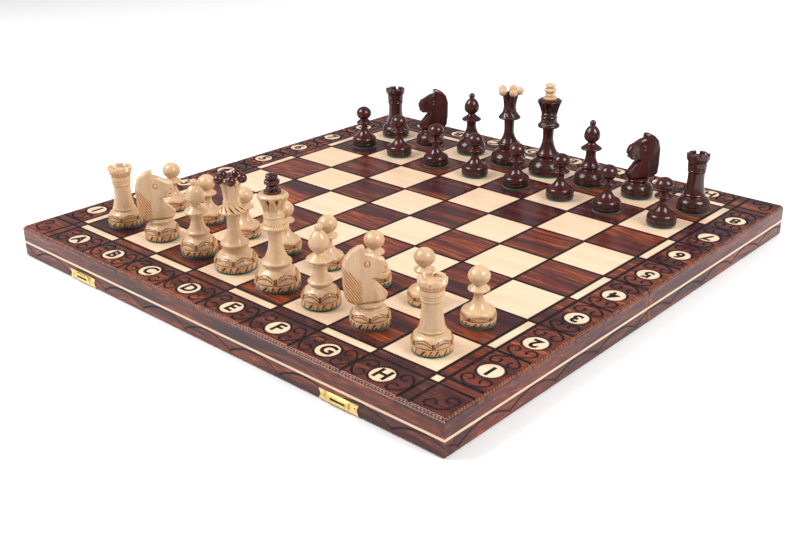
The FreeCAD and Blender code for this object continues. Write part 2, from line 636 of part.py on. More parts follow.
def knight():
    """A horse's head sawn from a board, bevelled, on a turned foot. It looks along +X."""
    foot = turned("knight_turned", foot_of("knight") + [
        ("knight_shoulder / 2", "knight_shoulder_height"),
        ("knight_shoulder / 2", "knight_ring_height"),
    ] + disc("knight", "ring") + [
        ("knight_pedestal / 2", "knight_ring_height + knight_ring_thickness"),
        ("knight_pedestal / 2", "knight_pedestal_height"), ("0", "knight_pedestal_height")])
    # Chest, throat, jaw, lip, nose, brow, crest and back, as shares of the head's length (from
    # the middle of the foot) and of its height above the pedestal.
    shape = [(-0.4, 0), (0.35, 0), (0.41, 0.12), (0.04, 0.42), (0.31, 0.43), (0.4, 0.5),
             (0.41, 0.65), (0.33, 0.75), (0.15, 0.8), (0.04, 0.88), (-0.12, 0.9), (-0.12, 1),
             (-0.25, 0.985), (-0.4, 0.93), (-0.54, 0.81), (-0.59, 0.64), (-0.58, 0.3),
             (-0.54, 0.09)]
    rise = "(knight_height - knight_pedestal_height)"
    corners = [("knight_head_length * %g" % x if x else "0",
                "knight_pedestal_height + %s * %g" % (rise, z)) for x, z in shape]
    head = sawn("knight_board", corners, "knight_head_thickness / 2", "knight_head_thickness / 2")
    doc.recompute()
    faces = value("knight_head_thickness / 2")
    rims = [n for n, edge in enumerate(head.Shape.Edges, start=1)
            if all(abs(abs(v.Point.y) - faces) < 1e-6 for v in edge.Vertexes)
            and abs(edge.CenterOfMass.y) > faces / 2
            and edge.CenterOfMass.z > value("knight_pedestal_height") + 1e-6]
    bevel = doc.addObject("Part::Chamfer", "knight_bevel")
    bevel.Base = head
    size = value("knight_head_chamfer")
    bevel.Edges = [(n, size, size) for n in rims]
    return fuse("knight", [foot, bevel])


def crowned_stem(kind):
    """What the king and the queen share: ringed stem, sloping collar, throat and bead."""
    bead_top = "%s_bead_height + %s_bead_thickness" % (kind, kind)
    return (ringed_stem(kind) + [("%s_stem / 2 + 0.4" % kind, "%s_collar_height" % kind)]
            + disc(kind, "collar")
            + [("%s_throat / 2" % kind, "%s_throat_height" % kind),
               ("%s_throat / 2 - 0.4" % kind, "%s_bead_height" % kind)]
            + disc(kind, "bead")
            + [("%s_crown_foot / 2" % kind, bead_top, "-%s_crown_round" % kind)])


def queen_balls():
    """Balls of the other wood, dowelled to the rim of the coronet."""
    made = []
    for i in range(QUEEN_BALLS):
        angle = 2 * math.pi * (i + 0.5) / QUEEN_BALLS
        made.append(ball("queen_ball_%d" % i,
                         "queen_ball_circle / 2 * %.9f" % math.cos(angle),
                         "queen_ball_circle / 2 * %.9f" % math.sin(angle),
                         "queen_height - queen_ball / 2", "queen_ball / 2"))
    return made


def queen(balls):
    knob_low = "queen_crown_height - queen_knob * 0.3"
    body = turned("queen_turned", foot_of("queen") + crowned_stem("queen") + [
        ("queen_crown / 2", "queen_crown_height"),
        ("queen_crown / 2 - 2", "queen_crown_height"),
        ("queen_knob / 2 * 0.8", knob_low, "queen_knob / 2"),
        ("0", "queen_crown_height + queen_knob / 2")])
    return cut("queen", body, balls)


def king():
    return turned("king", foot_of("king") + crowned_stem("king") + [
        ("king_crown / 2", "king_crown_height - king_crown_bevel"),
        ("king_crown_top / 2", "king_crown_height"), ("0", "king_crown_height")])


def king_finial():
    """A disc with three round tiers above it."""
    disc_top = "king_crown_height + finial_disc_thickness"
    tiers = []
    low = disc_top
    for tier in ("finial_low", "finial_middle", "finial_high"):
        tiers += [("finial_waist / 2", low)] + round_edge(tier, "finial_tier",
                                                          low + " + finial_gap")
        low += " + finial_gap + finial_tier"
    return turned("king_finial", [
        ("0", "king_crown_height"), ("finial_disc / 2", "king_crown_height"),
        ("finial_disc / 2", disc_top)] + tiers + [("0", "king_height")])


def felt(kind):
    return rod(kind + "_felt", "0", "0", "0", "%s_base / 2 - felt_inset" % kind, "felt_thickness")


def place(label, pieces, colour, kind, file, rank):
    """Copies of a man's pieces on a square. The men stand on the veneers and the panel."""
    man = node(label, group(label, pieces))
    shift = OFF_CENTRE.get(label.replace("_balls", "").replace("_finial", ""), (0, 0))
    if kind == "knight":
        turn = "%s_knight_turn" % colour
        man.Placement = FreeCAD.Placement(
            FreeCAD.Vector(), FreeCAD.Rotation(FreeCAD.Vector(0, 0, 1), value(turn)))
    bind(man, X="square_pitch * %g / 2 + %g" % (2 * file + 1 - SQUARES, shift[0]),
         Y="square_pitch * %g / 2 + %g" % (2 * rank + 1 - SQUARES, shift[1]), Z=TOP)


def men():
    balls = queen_balls()
    patterns = {"pawn": pawn(), "rook": rook(), "knight": knight(), "bishop": bishop(),
                "queen": queen(balls), "king": king()}
    sets = {kind: [body, felt(kind)] for kind, body in patterns.items()}
    finial = king_finial()
    for colour, back, front in (("white", 0, 1), ("black", 7, 6)):
        for file, kind in enumerate(SETUP):
            single = kind in ("queen", "king")
            label = "%s_%s" % (colour, kind) if single else "%s_%s_%s" % (colour, kind, FILES[file])
            place(label, sets[kind], colour, kind, file, back)
            if kind == "queen":
                place(label + "_balls", balls, colour, kind, file, back)
            if kind == "king":
                place(label + "_finial", [finial], colour, kind, file, back)
        for file in range(SQUARES):
            place("%s_pawn_%s" % (colour, FILES[file]), sets["pawn"], colour, "pawn", file, front)


hinge_work = hinges()
catch_nails = nails("white", -1)
plate_nails = nails("black", 1)
tray("white", -1, hinge_work["white"][1], catch_nails)
tray("black", 1, hinge_work["black"][1], plate_nails)
node("brass_fasteners_white", group("brass_fasteners_white", hinge_work["white"][0] + catch_nails))
node("brass_fasteners_black", group("brass_fasteners_black", hinge_work["black"][0] + plate_nails))
node("latch_catches", group("latch_catches", [latch_catch(p, catch_nails) for p in ("-", "")]))
node("latch_plates", group("latch_plates",
                           [piece for p in ("-", "") for piece in latch_plate(p, plate_nails)]))
for side_of_board in ("-", ""):
    latch_flap(side_of_board)
men()

doc.recompute()
for thing in doc.Objects:
    if "Invalid" in thing.State or "Error" in thing.State:
        raise RuntimeError("%s did not compute: %s" % (thing.Name, thing.State))
for thing in NODES:
    if thing.Shape.isNull() or not thing.Shape.isValid() or not thing.Shape.Solids:
        raise RuntimeError("%s has no valid solid" % thing.Label)

os.makedirs("parts", exist_ok=True)
for thing in NODES:
    thing.Shape.exportStep("parts/%s.step" % thing.Label)
print("%d nodes written" % len(NODES))
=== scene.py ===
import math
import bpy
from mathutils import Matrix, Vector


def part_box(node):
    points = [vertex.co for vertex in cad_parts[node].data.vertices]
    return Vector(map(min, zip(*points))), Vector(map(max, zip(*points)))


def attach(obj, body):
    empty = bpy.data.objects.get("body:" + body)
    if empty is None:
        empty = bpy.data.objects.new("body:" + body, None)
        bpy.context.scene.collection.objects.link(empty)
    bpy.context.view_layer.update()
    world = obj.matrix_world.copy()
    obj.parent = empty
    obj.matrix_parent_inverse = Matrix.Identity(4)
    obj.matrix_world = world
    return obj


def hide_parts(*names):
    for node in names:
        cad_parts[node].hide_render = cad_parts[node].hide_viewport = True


bl_info = {
    "name": "Folding chess set",
    "version": (1, 0, 0),
    "blender": (4, 5, 0),
    "location": "3D View > Sidebar > Chess set",
    "description": "Woods, burned ornament, brass and turned men around the packed chess set",
    "category": "Object",
}

import bpy
import numpy as np
from mathutils import Matrix, Vector

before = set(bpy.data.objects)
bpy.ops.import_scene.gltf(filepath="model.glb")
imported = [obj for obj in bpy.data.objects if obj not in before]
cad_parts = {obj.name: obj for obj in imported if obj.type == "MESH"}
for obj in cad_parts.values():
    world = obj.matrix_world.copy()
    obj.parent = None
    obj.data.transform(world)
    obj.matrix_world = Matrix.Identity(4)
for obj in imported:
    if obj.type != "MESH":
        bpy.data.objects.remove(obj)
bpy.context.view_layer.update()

MM = 0.001
SQUARES = 8
HALVES = {"white": -1, "black": 1}
PETALS = 5
FRAMES = 8
BALL_CIRCLE = 9.4 * MM


def node_box(node):
    """The lowest and the highest corner of a CAD node as arrays."""
    low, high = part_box(node)
    return np.array(low), np.array(high)


PANEL_HIGH = node_box("white_panel")[1]
RAIL_LOW, RAIL_HIGH = node_box("white_side_rails")
INLAY_LOW = node_box("white_inlay_lines")[0]
TOP = float(PANEL_HIGH[2])
EDGE = float(PANEL_HIGH[0])
SIDE = float(RAIL_HIGH[0])
PITCH = EDGE / 4.8
FIELD = 4 * PITCH
RING = FIELD + 0.185 * PITCH
SEAM = float(-PANEL_HIGH[1])
MIDLINE = FIELD + 0.49 * PITCH


# ---- meshes out of arrays


def new_piece(name, points, faces, materials, smooth=True, **values):
    """A mesh object from an array of points and a list of face arrays, each of one corner count.
    values are numbers for every point, kept as attributes."""
    mesh = bpy.data.meshes.new(name)
    points = np.asarray(points, np.float32).reshape(-1, 3)
    corners = np.concatenate([np.asarray(f, np.int32).ravel() for f in faces])
    counts = np.concatenate([np.full(len(f), f.shape[1], np.int32) for f in faces])
    mesh.vertices.add(len(points))
    mesh.vertices.foreach_set("co", points.ravel())
    mesh.loops.add(len(corners))
    mesh.loops.foreach_set("vertex_index", corners)
    mesh.polygons.add(len(counts))
    starts = np.concatenate([[0], np.cumsum(counts)[:-1]]).astype(np.int32)
    mesh.polygons.foreach_set("loop_start", starts)
    mesh.polygons.foreach_set("use_smooth", np.full(len(counts), smooth))
    for key, numbers in values.items():
        layer = mesh.attributes.new(key, "FLOAT", "POINT")
        layer.data.foreach_set("value", np.asarray(numbers, np.float32).ravel())
    mesh.update(calc_edges=True)
    mesh.validate()
    for material in np.atleast_1d(materials):
        mesh.materials.append(material)
    piece = bpy.data.objects.new(name, mesh)
    bpy.context.scene.collection.objects.link(piece)
    return piece


def tube_faces(rows, columns):
    """Faces of a closed tube of rows x columns points, then of its two end fans, whose middle
    points follow the grid. Rows run along the tube and columns run anticlockwise round it."""
    row = np.arange(rows - 1)[:, None] * columns
    here = np.arange(columns)[None, :]
    there = (here + 1) % columns
    sides = np.stack([row + here, row + there, row + columns + there, row + columns + here], -1)
    first, last = rows * columns, rows * columns + 1
    here, there = here.ravel(), there.ravel()
    end = (rows - 1) * columns
    low = np.stack([there, here, np.full(columns, first)], -1)
    high = np.stack([end + here, end + there, np.full(columns, last)], -1)
    return sides.reshape(-1, 4), np.concatenate([low, high])


def closed_tube(grid):
    """Points and faces of a grid (rows, columns, 3) whose two ends are closed by a fan."""
    rows, columns = grid.shape[:2]
    ends = np.stack([grid[0].mean(0), grid[-1].mean(0)])
    return np.concatenate([grid.reshape(-1, 3), ends]), tube_faces(rows, columns)


def with_ends(numbers):
    """The numbers of a closed tube's points, with the mean of each end ring for its middle."""
    return np.concatenate([numbers.ravel(), [numbers[0].mean(), numbers[-1].mean()]])


def joined(parts):
    """Several (points, face arrays, numbers) made into one: the points follow each other and
    every face index is moved on by the points before it."""
    points, numbers, faces, start = [], [], {}, 0
    for part_points, part_faces, part_numbers in parts:
        points.append(part_points)
        numbers.append(part_numbers)
        for array in part_faces:
            faces.setdefault(array.shape[1], []).append(array + start)
        start += len(part_points)
    return (np.concatenate(points), [np.concatenate(f) for f in faces.values()],
            np.concatenate(numbers))


def evenly(line, pitch):
    """Points along an open line (n, 2 or 3), a whole number of equal steps near pitch apart."""
    steps = np.linalg.norm(np.diff(line, axis=0), axis=1)
    along = np.concatenate([[0], np.cumsum(steps)])
    count = max(2, int(round(along[-1] / pitch)) + 1)
    at = np.linspace(0, along[-1], count)
    return np.stack([np.interp(at, along, line[:, k]) for k in range(line.shape[1])], -1)


def headings(line):
    """Unit directions along a line, from the difference of each point's two neighbours."""
    run = np.gradient(line, axis=0)
    return run / np.linalg.norm(run, axis=1, keepdims=True)


# A pressed bead: a closed dome with a skirt below the surface, one unit across and along.
BEAD_SIDES = 8
_turn = 2 * np.pi * np.arange(BEAD_SIDES) / BEAD_SIDES
BEAD_POINTS = np.concatenate(
    [np.stack([0.5 * size * np.cos(_turn), 0.5 * size * np.sin(_turn),
               np.full(BEAD_SIDES, height)], -1) for size, height in ((1, -0.5), (0.82, 0.62))]
    + [[[0, 0, 1.0]]])
_near = np.arange(BEAD_SIDES)
_next = (_near + 1) % BEAD_SIDES
BEAD_WALL = np.stack([_near, _next, _next + BEAD_SIDES, _near + BEAD_SIDES], -1)
BEAD_CAP = np.stack([_near + BEAD_SIDES, _next + BEAD_SIDES,
                     np.full(BEAD_SIDES, 2 * BEAD_SIDES)], -1)
BEAD_FLOOR = np.array([[3, 2, 1, 0], [5, 4, 3, 0], [7, 6, 5, 0]])


def beads(places, along, normal, length, width, height):
    """A bead at every place: the unit bead stretched to length along the line, width across
    it and height along the surface's normal, and turned by the line's own axes."""
    normal = np.broadcast_to(normal, places.shape)
    across = np.cross(normal, along)
    axes = np.stack([along * length, across * width, normal * height], 1)
    points = places[:, None] + BEAD_POINTS @ axes
    start = (np.arange(len(places)) * len(BEAD_POINTS))[:, None, None]
    faces = [(f[None] + start).reshape(-1, f.shape[1]) for f in
             (BEAD_WALL, BEAD_CAP, BEAD_FLOOR)]
    points = points.reshape(-1, 3)
    return points, faces, np.ones(len(points))


def flat_to_top(line, height=0.0):
    """A plan line (n, 2) laid on the playing side of the board."""
    return np.column_stack([line, np.full(len(line), TOP + height)])


# ---- materials


def node_group(name, inputs, outputs):
    """An empty shader group with float or vector inputs and float outputs."""
    group = bpy.data.node_groups.new(name, "ShaderNodeTree")
    for key, default in inputs.items():
        kind = "NodeSocketVector" if default is None else "NodeSocketFloat"
        socket = group.interface.new_socket(key, in_out="INPUT", socket_type=kind)
        if default is not None:
            socket.default_value = default
    for key in outputs:
        group.interface.new_socket(key, in_out="OUTPUT", socket_type="NodeSocketFloat")
    source = group.nodes.new("NodeGroupInput")
    sink = group.nodes.new("NodeGroupOutput")
    return group, source, sink


class Wiring:
    """Short ways to add and join the nodes of one tree."""

    def __init__(self, tree):
        self.tree = tree

    def add(self, kind, links=None, **settings):
        """A node with its settings, and its inputs set to numbers or joined to sockets."""
        made = self.tree.nodes.new(kind)
        for key, setting in settings.items():
            setattr(made, key, setting)
        for key, source in (links or {}).items():
            self.feed(made.inputs[key], source)
        return made

    def feed(self, socket, source):
        if isinstance(source, bpy.types.NodeSocket):
            self.tree.links.new(source, socket)
        else:
            socket.default_value = source

    def math(self, operation, first, second=0.0, third=0.0, clamp=False):
        made = self.add("ShaderNodeMath", {0: first, 1: second, 2: third},
                        operation=operation, use_clamp=clamp)
        return made.outputs[0]

    def range(self, source, low, high, to_low=0.0, to_high=1.0, smooth=True):
        made = self.add("ShaderNodeMapRange", {"Value": source, "From Min": low,
                        "From Max": high, "To Min": to_low, "To Max": to_high},
                        interpolation_type="SMOOTHSTEP" if smooth else "LINEAR")
        return made.outputs["Result"]

    def noise(self, vector, scale, detail=3.0, roughness=0.55, distortion=0.0):
        made = self.add("ShaderNodeTexNoise", {"Vector": vector, "Scale": scale,
                        "Detail": detail, "Roughness": roughness, "Distortion": distortion})
        return made.outputs["Fac"]

    def stretch(self, vector, scale, place=(0, 0, 0), turn=(0, 0, 0)):
        made = self.add("ShaderNodeMapping", {"Vector": vector, "Scale": scale,
                        "Location": place, "Rotation": turn})
        return made.outputs["Vector"]

    def mix(self, amount, first, second, blend="MIX"):
        made = self.add("ShaderNodeMix", data_type="RGBA", blend_type=blend)
        for index, source in ((0, amount), (6, first), (7, second)):
            self.feed(made.inputs[index], source)
        return made.outputs[2]

    def parts(self, vector):
        return self.add("ShaderNodeSeparateXYZ", {"Vector": vector}).outputs

    def group(self, tree, **links):
        made = self.add("ShaderNodeGroup")
        made.node_tree = tree
        for key, source in links.items():
            self.feed(made.inputs[key.replace("_", " ")], source)
        return made.outputs


def grain_group():
    """Wood grain: Streak is broad bands stretched along the vector's X, Fibre is fine lines
    in the same direction and Pore is short dark ticks."""
    group, source, sink = node_group(
        "Wood grain", {"Vector": None, "Bands": 60.0, "Stretch": 0.06, "Wander": 0.5},
        ("Streak", "Fibre", "Pore"))
    w = Wiring(group)
    wander = w.noise(source.outputs["Vector"], 9.0, 2.0)
    bend = w.math("MULTIPLY", w.math("SUBTRACT", wander, 0.5), source.outputs["Wander"])
    x, y, z = w.parts(source.outputs["Vector"])
    long = w.math("MULTIPLY", x, source.outputs["Stretch"])
    side = w.math("ADD", y, w.math("MULTIPLY", bend, 0.02))
    lined = w.add("ShaderNodeCombineXYZ", {"X": long, "Y": side, "Z": z}).outputs[0]
    streak = w.noise(lined, source.outputs["Bands"], 4.0, 0.6, 0.4)
    fibre = w.noise(lined, w.math("MULTIPLY", source.outputs["Bands"], 9.0), 2.0, 0.6)
    pore = w.noise(lined, w.math("MULTIPLY", source.outputs["Bands"], 22.0), 1.0, 0.4)
    w.feed(sink.inputs["Streak"], w.range(streak, 0.3, 0.7))
    w.feed(sink.inputs["Fibre"], w.range(fibre, 0.25, 0.75))
    w.feed(sink.inputs["Pore"], w.range(pore, 0.66, 0.8))
    return group


def lattice_group():
    """The board's grid: Tone is one random number for each square, Scorch is 1 at a burned
    line and falls to 0 a little way off. The distance to a line is that of a triangle wave."""
    group, source, sink = node_group(
        "Board lattice", {"Vector": None, "Pitch": PITCH, "Reach": 0.0012}, ("Tone", "Scorch"))
    w = Wiring(group)
    x, y, _ = w.parts(source.outputs["Vector"])
    cells, gaps = [], []
    for axis in (x, y):
        cell = w.math("DIVIDE", axis, source.outputs["Pitch"])
        cells.append(w.math("FLOOR", cell))
        edge = w.math("PINGPONG", cell, 0.5)
        gaps.append(w.math("MULTIPLY", edge, source.outputs["Pitch"]))
        off = w.math("ABSOLUTE", w.math("SUBTRACT", w.math("ABSOLUTE", axis), RING))
        gaps.append(off)
    nearest = gaps[0]
    for gap in gaps[1:]:
        nearest = w.math("MINIMUM", nearest, gap)
    spot = w.add("ShaderNodeCombineXYZ", {"X": cells[0], "Y": cells[1], "Z": 0.0}).outputs[0]
    tone = w.add("ShaderNodeTexWhiteNoise", {"Vector": spot}).outputs["Value"]
    near = w.math("SUBTRACT", nearest, 0.001)
    w.feed(sink.inputs["Tone"], tone)
    w.feed(sink.inputs["Scorch"], w.range(
        w.math("DIVIDE", near, source.outputs["Reach"]), 0.0, 1.0, 1.0, 0.0))
    return group


def dust_group():
    """Handling marks: a faint cloudy number that lifts the roughness of lacquer and metal."""
    group, source, sink = node_group("Handling marks", {"Vector": None, "Scale": 25.0},
                                     ("Marks",))
    w = Wiring(group)
    cloud = w.noise(source.outputs["Vector"], source.outputs["Scale"], 5.0, 0.65)
    w.feed(sink.inputs["Marks"], w.range(cloud, 0.35, 0.75))
    return group


def swag_group():
    """The burned ornament on a man's foot. Off X and Off Y are the way from its axis, Dome
    and Band run from 0 to 1 up the two parts of the foot. Round the dome hang two rows of dots
    along arches, a power of a sine, with a pair of strokes where two arches meet. Round the
    band run slanted strokes. Char is the black of the marks, Scorch the brown about them."""
    group, source, sink = node_group(
        "Burned swags", {"Off X": 1.0, "Off Y": 0.0, "Dome": 0.0, "Band": 0.0, "Swags": 0.0},
        ("Char", "Scorch"))
    w = Wiring(group)
    dome, band, swags = (source.outputs[name] for name in ("Dome", "Band", "Swags"))
    around = w.math("DIVIDE", w.math("ARCTAN2", source.outputs["Off Y"], source.outputs["Off X"]),
                    2 * math.pi)
    t = w.math("FRACT", w.math("MULTIPLY", w.math("ADD", around, 0.63), swags))
    gap = w.math("PINGPONG", t, 0.5)
    arch = w.math("POWER", w.math("SINE", w.math("MULTIPLY", t, math.pi)), 0.6)
    off = w.math("SUBTRACT", w.math("SUBTRACT", dome, 0.16), w.math("MULTIPLY", arch, 0.52))
    upper = w.math("ABSOLUTE", off)
    lower = w.math("ABSOLUTE", w.math("ADD", off, 0.2))
    row = w.math("MINIMUM", upper, lower)
    dots = w.math("COSINE", w.math("MULTIPLY", t, 2 * math.pi * 12))
    away = w.range(gap, 0.06, 0.1)
    above = w.math("MULTIPLY", w.range(dome, 0.04, 0.1), w.range(dome, 0.95, 1.0, 1.0, 0.0))
    beaded = w.math("MULTIPLY", w.range(row, 0.04, 0.08, 1.0, 0.0), w.range(dots, -0.35, 0.35))
    beaded = w.math("MULTIPLY", w.math("MULTIPLY", beaded, away), above)
    stroke = w.math("MULTIPLY", w.range(w.math("ABSOLUTE", w.math("SUBTRACT", gap, 0.034)),
                                        0.018, 0.034, 1.0, 0.0),
                    w.range(dome, 0.44, 0.56, 1.0, 0.0))
    stroke = w.math("MULTIPLY", stroke, above)
    wobble = w.math("SINE", w.math("MULTIPLY", around, 14 * math.pi))
    turn = w.math("ADD", w.math("MULTIPLY", around, w.math("MULTIPLY", swags, 3.0)),
                  w.math("MULTIPLY", wobble, 0.16))
    long = w.math("PINGPONG", w.math("SUBTRACT", turn, w.math("MULTIPLY", band, 0.45)), 0.5)
    short = w.math("PINGPONG", w.math("ADD", turn, w.math("MULTIPLY", band, -0.2)), 0.5)
    on_band = w.math("MULTIPLY", w.range(band, 0.05, 0.12), w.range(band, 0.9, 1.0, 1.0, 0.0))
    slanted = w.math("MULTIPLY", w.range(long, 0.06, 0.14, 1.0, 0.0), on_band)
    halo = w.math("MULTIPLY", w.range(long, 0.08, 0.3, 1.0, 0.0), on_band)
    dash = w.math("MULTIPLY", w.range(short, 0.4, 0.45),
                  w.math("MULTIPLY", on_band, w.range(band, 0.3, 0.5, 1.0, 0.0)))
    char = w.math("MAXIMUM", w.math("MAXIMUM", beaded, stroke),
                  w.math("MAXIMUM", w.math("MULTIPLY", slanted, 0.9), dash))
    near = w.math("MULTIPLY", w.range(row, 0.04, 0.11, 0.7, 0.0), w.math("MULTIPLY", away, above))
    w.feed(sink.inputs["Char"], char)
    w.feed(sink.inputs["Scorch"], w.math("MAXIMUM", near, halo))
    return group


GROUPS = {}


def shared(name):
    """One of the groups that several materials use, built the first time it is asked for."""
    if name not in GROUPS:
        GROUPS[name] = {"grain": grain_group, "lattice": lattice_group,
                        "marks": dust_group, "swags": swag_group}[name]()
    return GROUPS[name]


def material(name, **sockets):
    """A material with a Principled shader whose fixed values are set on its own sockets."""
    made = bpy.data.materials.new(name)
    made.use_nodes = True
    tree = made.node_tree
    shader = next(n for n in tree.nodes if n.type == "BSDF_PRINCIPLED")
    for key, number in sockets.items():
        shader.inputs[key.replace("_", " ")].default_value = number
    return made, Wiring(tree), shader


def object_space(w):
    return w.add("ShaderNodeTexCoord").outputs["Object"]


def rgb(color):
    return (*color, 1.0)


def bump(w, shader, height, distance, strength=1.0):
    made = w.add("ShaderNodeBump", {"Height": height, "Distance": distance,
                                    "Strength": strength})
    w.feed(shader.inputs["Normal"], made.outputs["Normal"])


def lacquered_wood(name, deep, warm, glow, turn=(0, 0, 0), bands=60.0, squares=True,
                   rough=0.2):
    """Dark red-brown wood under lacquer: deep ground, warm streaks and a few glowing ones,
    with each square of the board a little different."""
    made, w, shader = material(name, Specular_IOR_Level=0.3, Coat_Weight=0.16, Coat_Roughness=0.12)
    space = object_space(w)
    tone = 0.5
    if squares:
        lattice = w.group(shared("lattice"), Vector=space)
        tone = lattice["Tone"]
        shift = w.add("ShaderNodeCombineXYZ", {"X": 0.0, "Y": tone,
                                               "Z": w.math("MULTIPLY", tone, 0.7)}).outputs[0]
        space_in = w.add("ShaderNodeVectorMath", {0: space, 1: shift},
                         operation="ADD").outputs[0]
    else:
        space_in = space
    grain = w.group(shared("grain"), Vector=w.stretch(space_in, (1, 1, 1), turn=turn),
                    Bands=bands, Stretch=0.07, Wander=1.0)
    streak = w.math("POWER", grain["Streak"], w.range(tone, 0.0, 1.0, 1.1, 2.2, False)
                    if squares else 1.5)
    color = w.mix(streak, rgb(deep), rgb(warm))
    lines = w.math("MULTIPLY", w.math("POWER", grain["Fibre"], 3.0), streak)
    color = w.mix(w.math("MULTIPLY", lines, 0.9, clamp=True), color, rgb(glow))
    color = w.mix(w.math("MULTIPLY", grain["Pore"], 0.5), color, rgb([c * 0.3 for c in deep]))
    if squares:
        color = w.mix(w.math("MULTIPLY", lattice["Scorch"], 0.75), color, (0.01, 0.006, 0.006, 1))
    marks = w.group(shared("marks"), Vector=space)["Marks"]
    w.feed(shader.inputs["Base Color"], color)
    w.feed(shader.inputs["Roughness"], w.range(marks, 0.0, 1.0, rough, rough + 0.1, False))
    bump(w, shader, w.math("ADD", grain["Fibre"], w.math("MULTIPLY", grain["Pore"], -1.0)),
         0.00003)
    return made


def light_wood(name, pale, tan, turn=(0, 0, 0), squares=True):
    """Pale veneer under lacquer with fine straight grain, browned beside the burned lines."""
    made, w, shader = material(name, Specular_IOR_Level=0.3, Coat_Weight=0.2, Coat_Roughness=0.15)
    space = object_space(w)
    grain = w.group(shared("grain"), Vector=w.stretch(space, (1, 1, 1), turn=turn),
                    Bands=90.0, Stretch=0.05, Wander=0.6)
    color = w.mix(w.math("MULTIPLY", grain["Streak"], 0.65), rgb(pale), rgb(tan))
    color = w.mix(w.math("MULTIPLY", grain["Fibre"], 0.25), color, rgb([c * 0.8 for c in tan]))
    if squares:
        lattice = w.group(shared("lattice"), Vector=space, Reach=0.0009)
        color = w.mix(w.math("MULTIPLY", lattice["Tone"], 0.3), color,
                      rgb([pale[0], pale[1] * 0.93, pale[2] * 0.84]))
        color = w.mix(lattice["Scorch"], color, (0.25, 0.08, 0.02, 1))
    marks = w.group(shared("marks"), Vector=space)["Marks"]
    w.feed(shader.inputs["Base Color"], color)
    w.feed(shader.inputs["Roughness"], w.range(marks, 0.0, 1.0, 0.24, 0.36, False))
    bump(w, shader, grain["Fibre"], 0.00002)
    return made


def turned_wood(name, pale, tan, scorch, char, rough):
    """The wood of the men: grain runs up the piece, and the burn attribute browns the carving
    from a scorched tan to char. It holds the burned marks, and also painted shade in the
    queens' grooves and the kings' sunk facets."""
    made, w, shader = material(name, Specular_IOR_Level=0.35, Coat_Weight=0.4,
                               Coat_Roughness=0.08)
    space = object_space(w)
    upright = w.stretch(space, (1, 1, 1), turn=(0, math.radians(90), 0))
    grain = w.group(shared("grain"), Vector=upright, Bands=170.0, Stretch=0.12, Wander=0.5)
    color = w.mix(w.math("MULTIPLY", grain["Streak"], 0.7), rgb(pale), rgb(tan))
    color = w.mix(w.math("MULTIPLY", grain["Fibre"], 0.3), color, rgb([c * 0.8 for c in tan]))
    numbers = {name: w.add("ShaderNodeAttribute", attribute_name=name).outputs["Fac"]
               for name in ("burn", "off_x", "off_y", "dome_share", "band_share", "swags")}
    carved = w.group(shared("swags"), Off_X=numbers["off_x"], Off_Y=numbers["off_y"],
                     Dome=numbers["dome_share"], Band=numbers["band_share"],
                     Swags=numbers["swags"])
    # burn holds the burned marks and also painted shade from the queens' grooves and the kings'
    # sunk facets.
    burn = w.math("MAXIMUM", numbers["burn"], carved["Char"])
    patchy = w.math("MULTIPLY", burn, w.range(w.noise(space, 700.0, 2.0), 0.3, 0.7, 0.75, 1.2))
    brown = w.math("MAXIMUM", w.range(patchy, 0.05, 0.45), carved["Scorch"])
    color = w.mix(brown, color, rgb(scorch))
    color = w.mix(w.range(patchy, 0.4, 0.9), color, rgb(char))
    marks = w.group(shared("marks"), Vector=space, Scale=90.0)["Marks"]
    w.feed(shader.inputs["Base Color"], color)
    w.feed(shader.inputs["Roughness"], w.math(
        "ADD", w.range(marks, 0.0, 1.0, rough, rough + 0.1, False),
        w.math("MULTIPLY", burn, 0.2)))
    bump(w, shader, w.math("SUBTRACT", w.math("MULTIPLY", grain["Fibre"], 0.08), carved["Char"]),
         0.0004)
    return made


def burned_wood():
    """Charred wood pressed with a hot stamp: blue-black, glossy on its raised points."""
    made, w, shader = material("Burned wood", Specular_IOR_Level=0.25)
    space = object_space(w)
    speck = w.noise(space, 900.0, 3.0)
    w.feed(shader.inputs["Base Color"], w.mix(w.range(speck, 0.35, 0.75),
                                              (0.003, 0.003, 0.006, 1), (0.014, 0.009, 0.011, 1)))
    w.feed(shader.inputs["Roughness"], w.range(speck, 0.3, 0.7, 0.22, 0.42))
    bump(w, shader, speck, 0.00006)
    return made


def rope_wood():
    """The moulded edge: orange-red wood on the strands, char in the cuts between them."""
    made, w, shader = material("Rope edge", Specular_IOR_Level=0.4, Coat_Weight=0.15)
    space = object_space(w)
    speck = w.noise(space, 260.0, 3.0)
    burn = w.add("ShaderNodeAttribute", attribute_name="burn").outputs["Fac"]
    wood = w.mix(w.range(speck, 0.3, 0.7), (0.13, 0.03, 0.016, 1), (0.36, 0.1, 0.03, 1))
    w.feed(shader.inputs["Base Color"], w.mix(burn, wood, (0.008, 0.006, 0.008, 1)))
    w.feed(shader.inputs["Roughness"], w.range(speck, 0.3, 0.7, 0.2, 0.35))
    return made


def brass():
    """Pressed brass: warm, a little brushed, dulled in cloudy patches."""
    made, w, shader = material("Brass", Metallic=1.0)
    space = object_space(w)
    marks = w.group(shared("marks"), Vector=space, Scale=120.0)["Marks"]
    brushed = w.noise(w.stretch(space, (0.05, 1, 1)), 2600.0, 2.0)
    w.feed(shader.inputs["Base Color"], w.mix(marks, (0.92, 0.72, 0.36, 1),
                                              (0.66, 0.45, 0.17, 1)))
    w.feed(shader.inputs["Roughness"], w.math(
        "ADD", w.range(marks, 0.0, 1.0, 0.18, 0.4), w.math("MULTIPLY", brushed, 0.08)))
    bump(w, shader, brushed, 0.00002, 0.6)
    return made


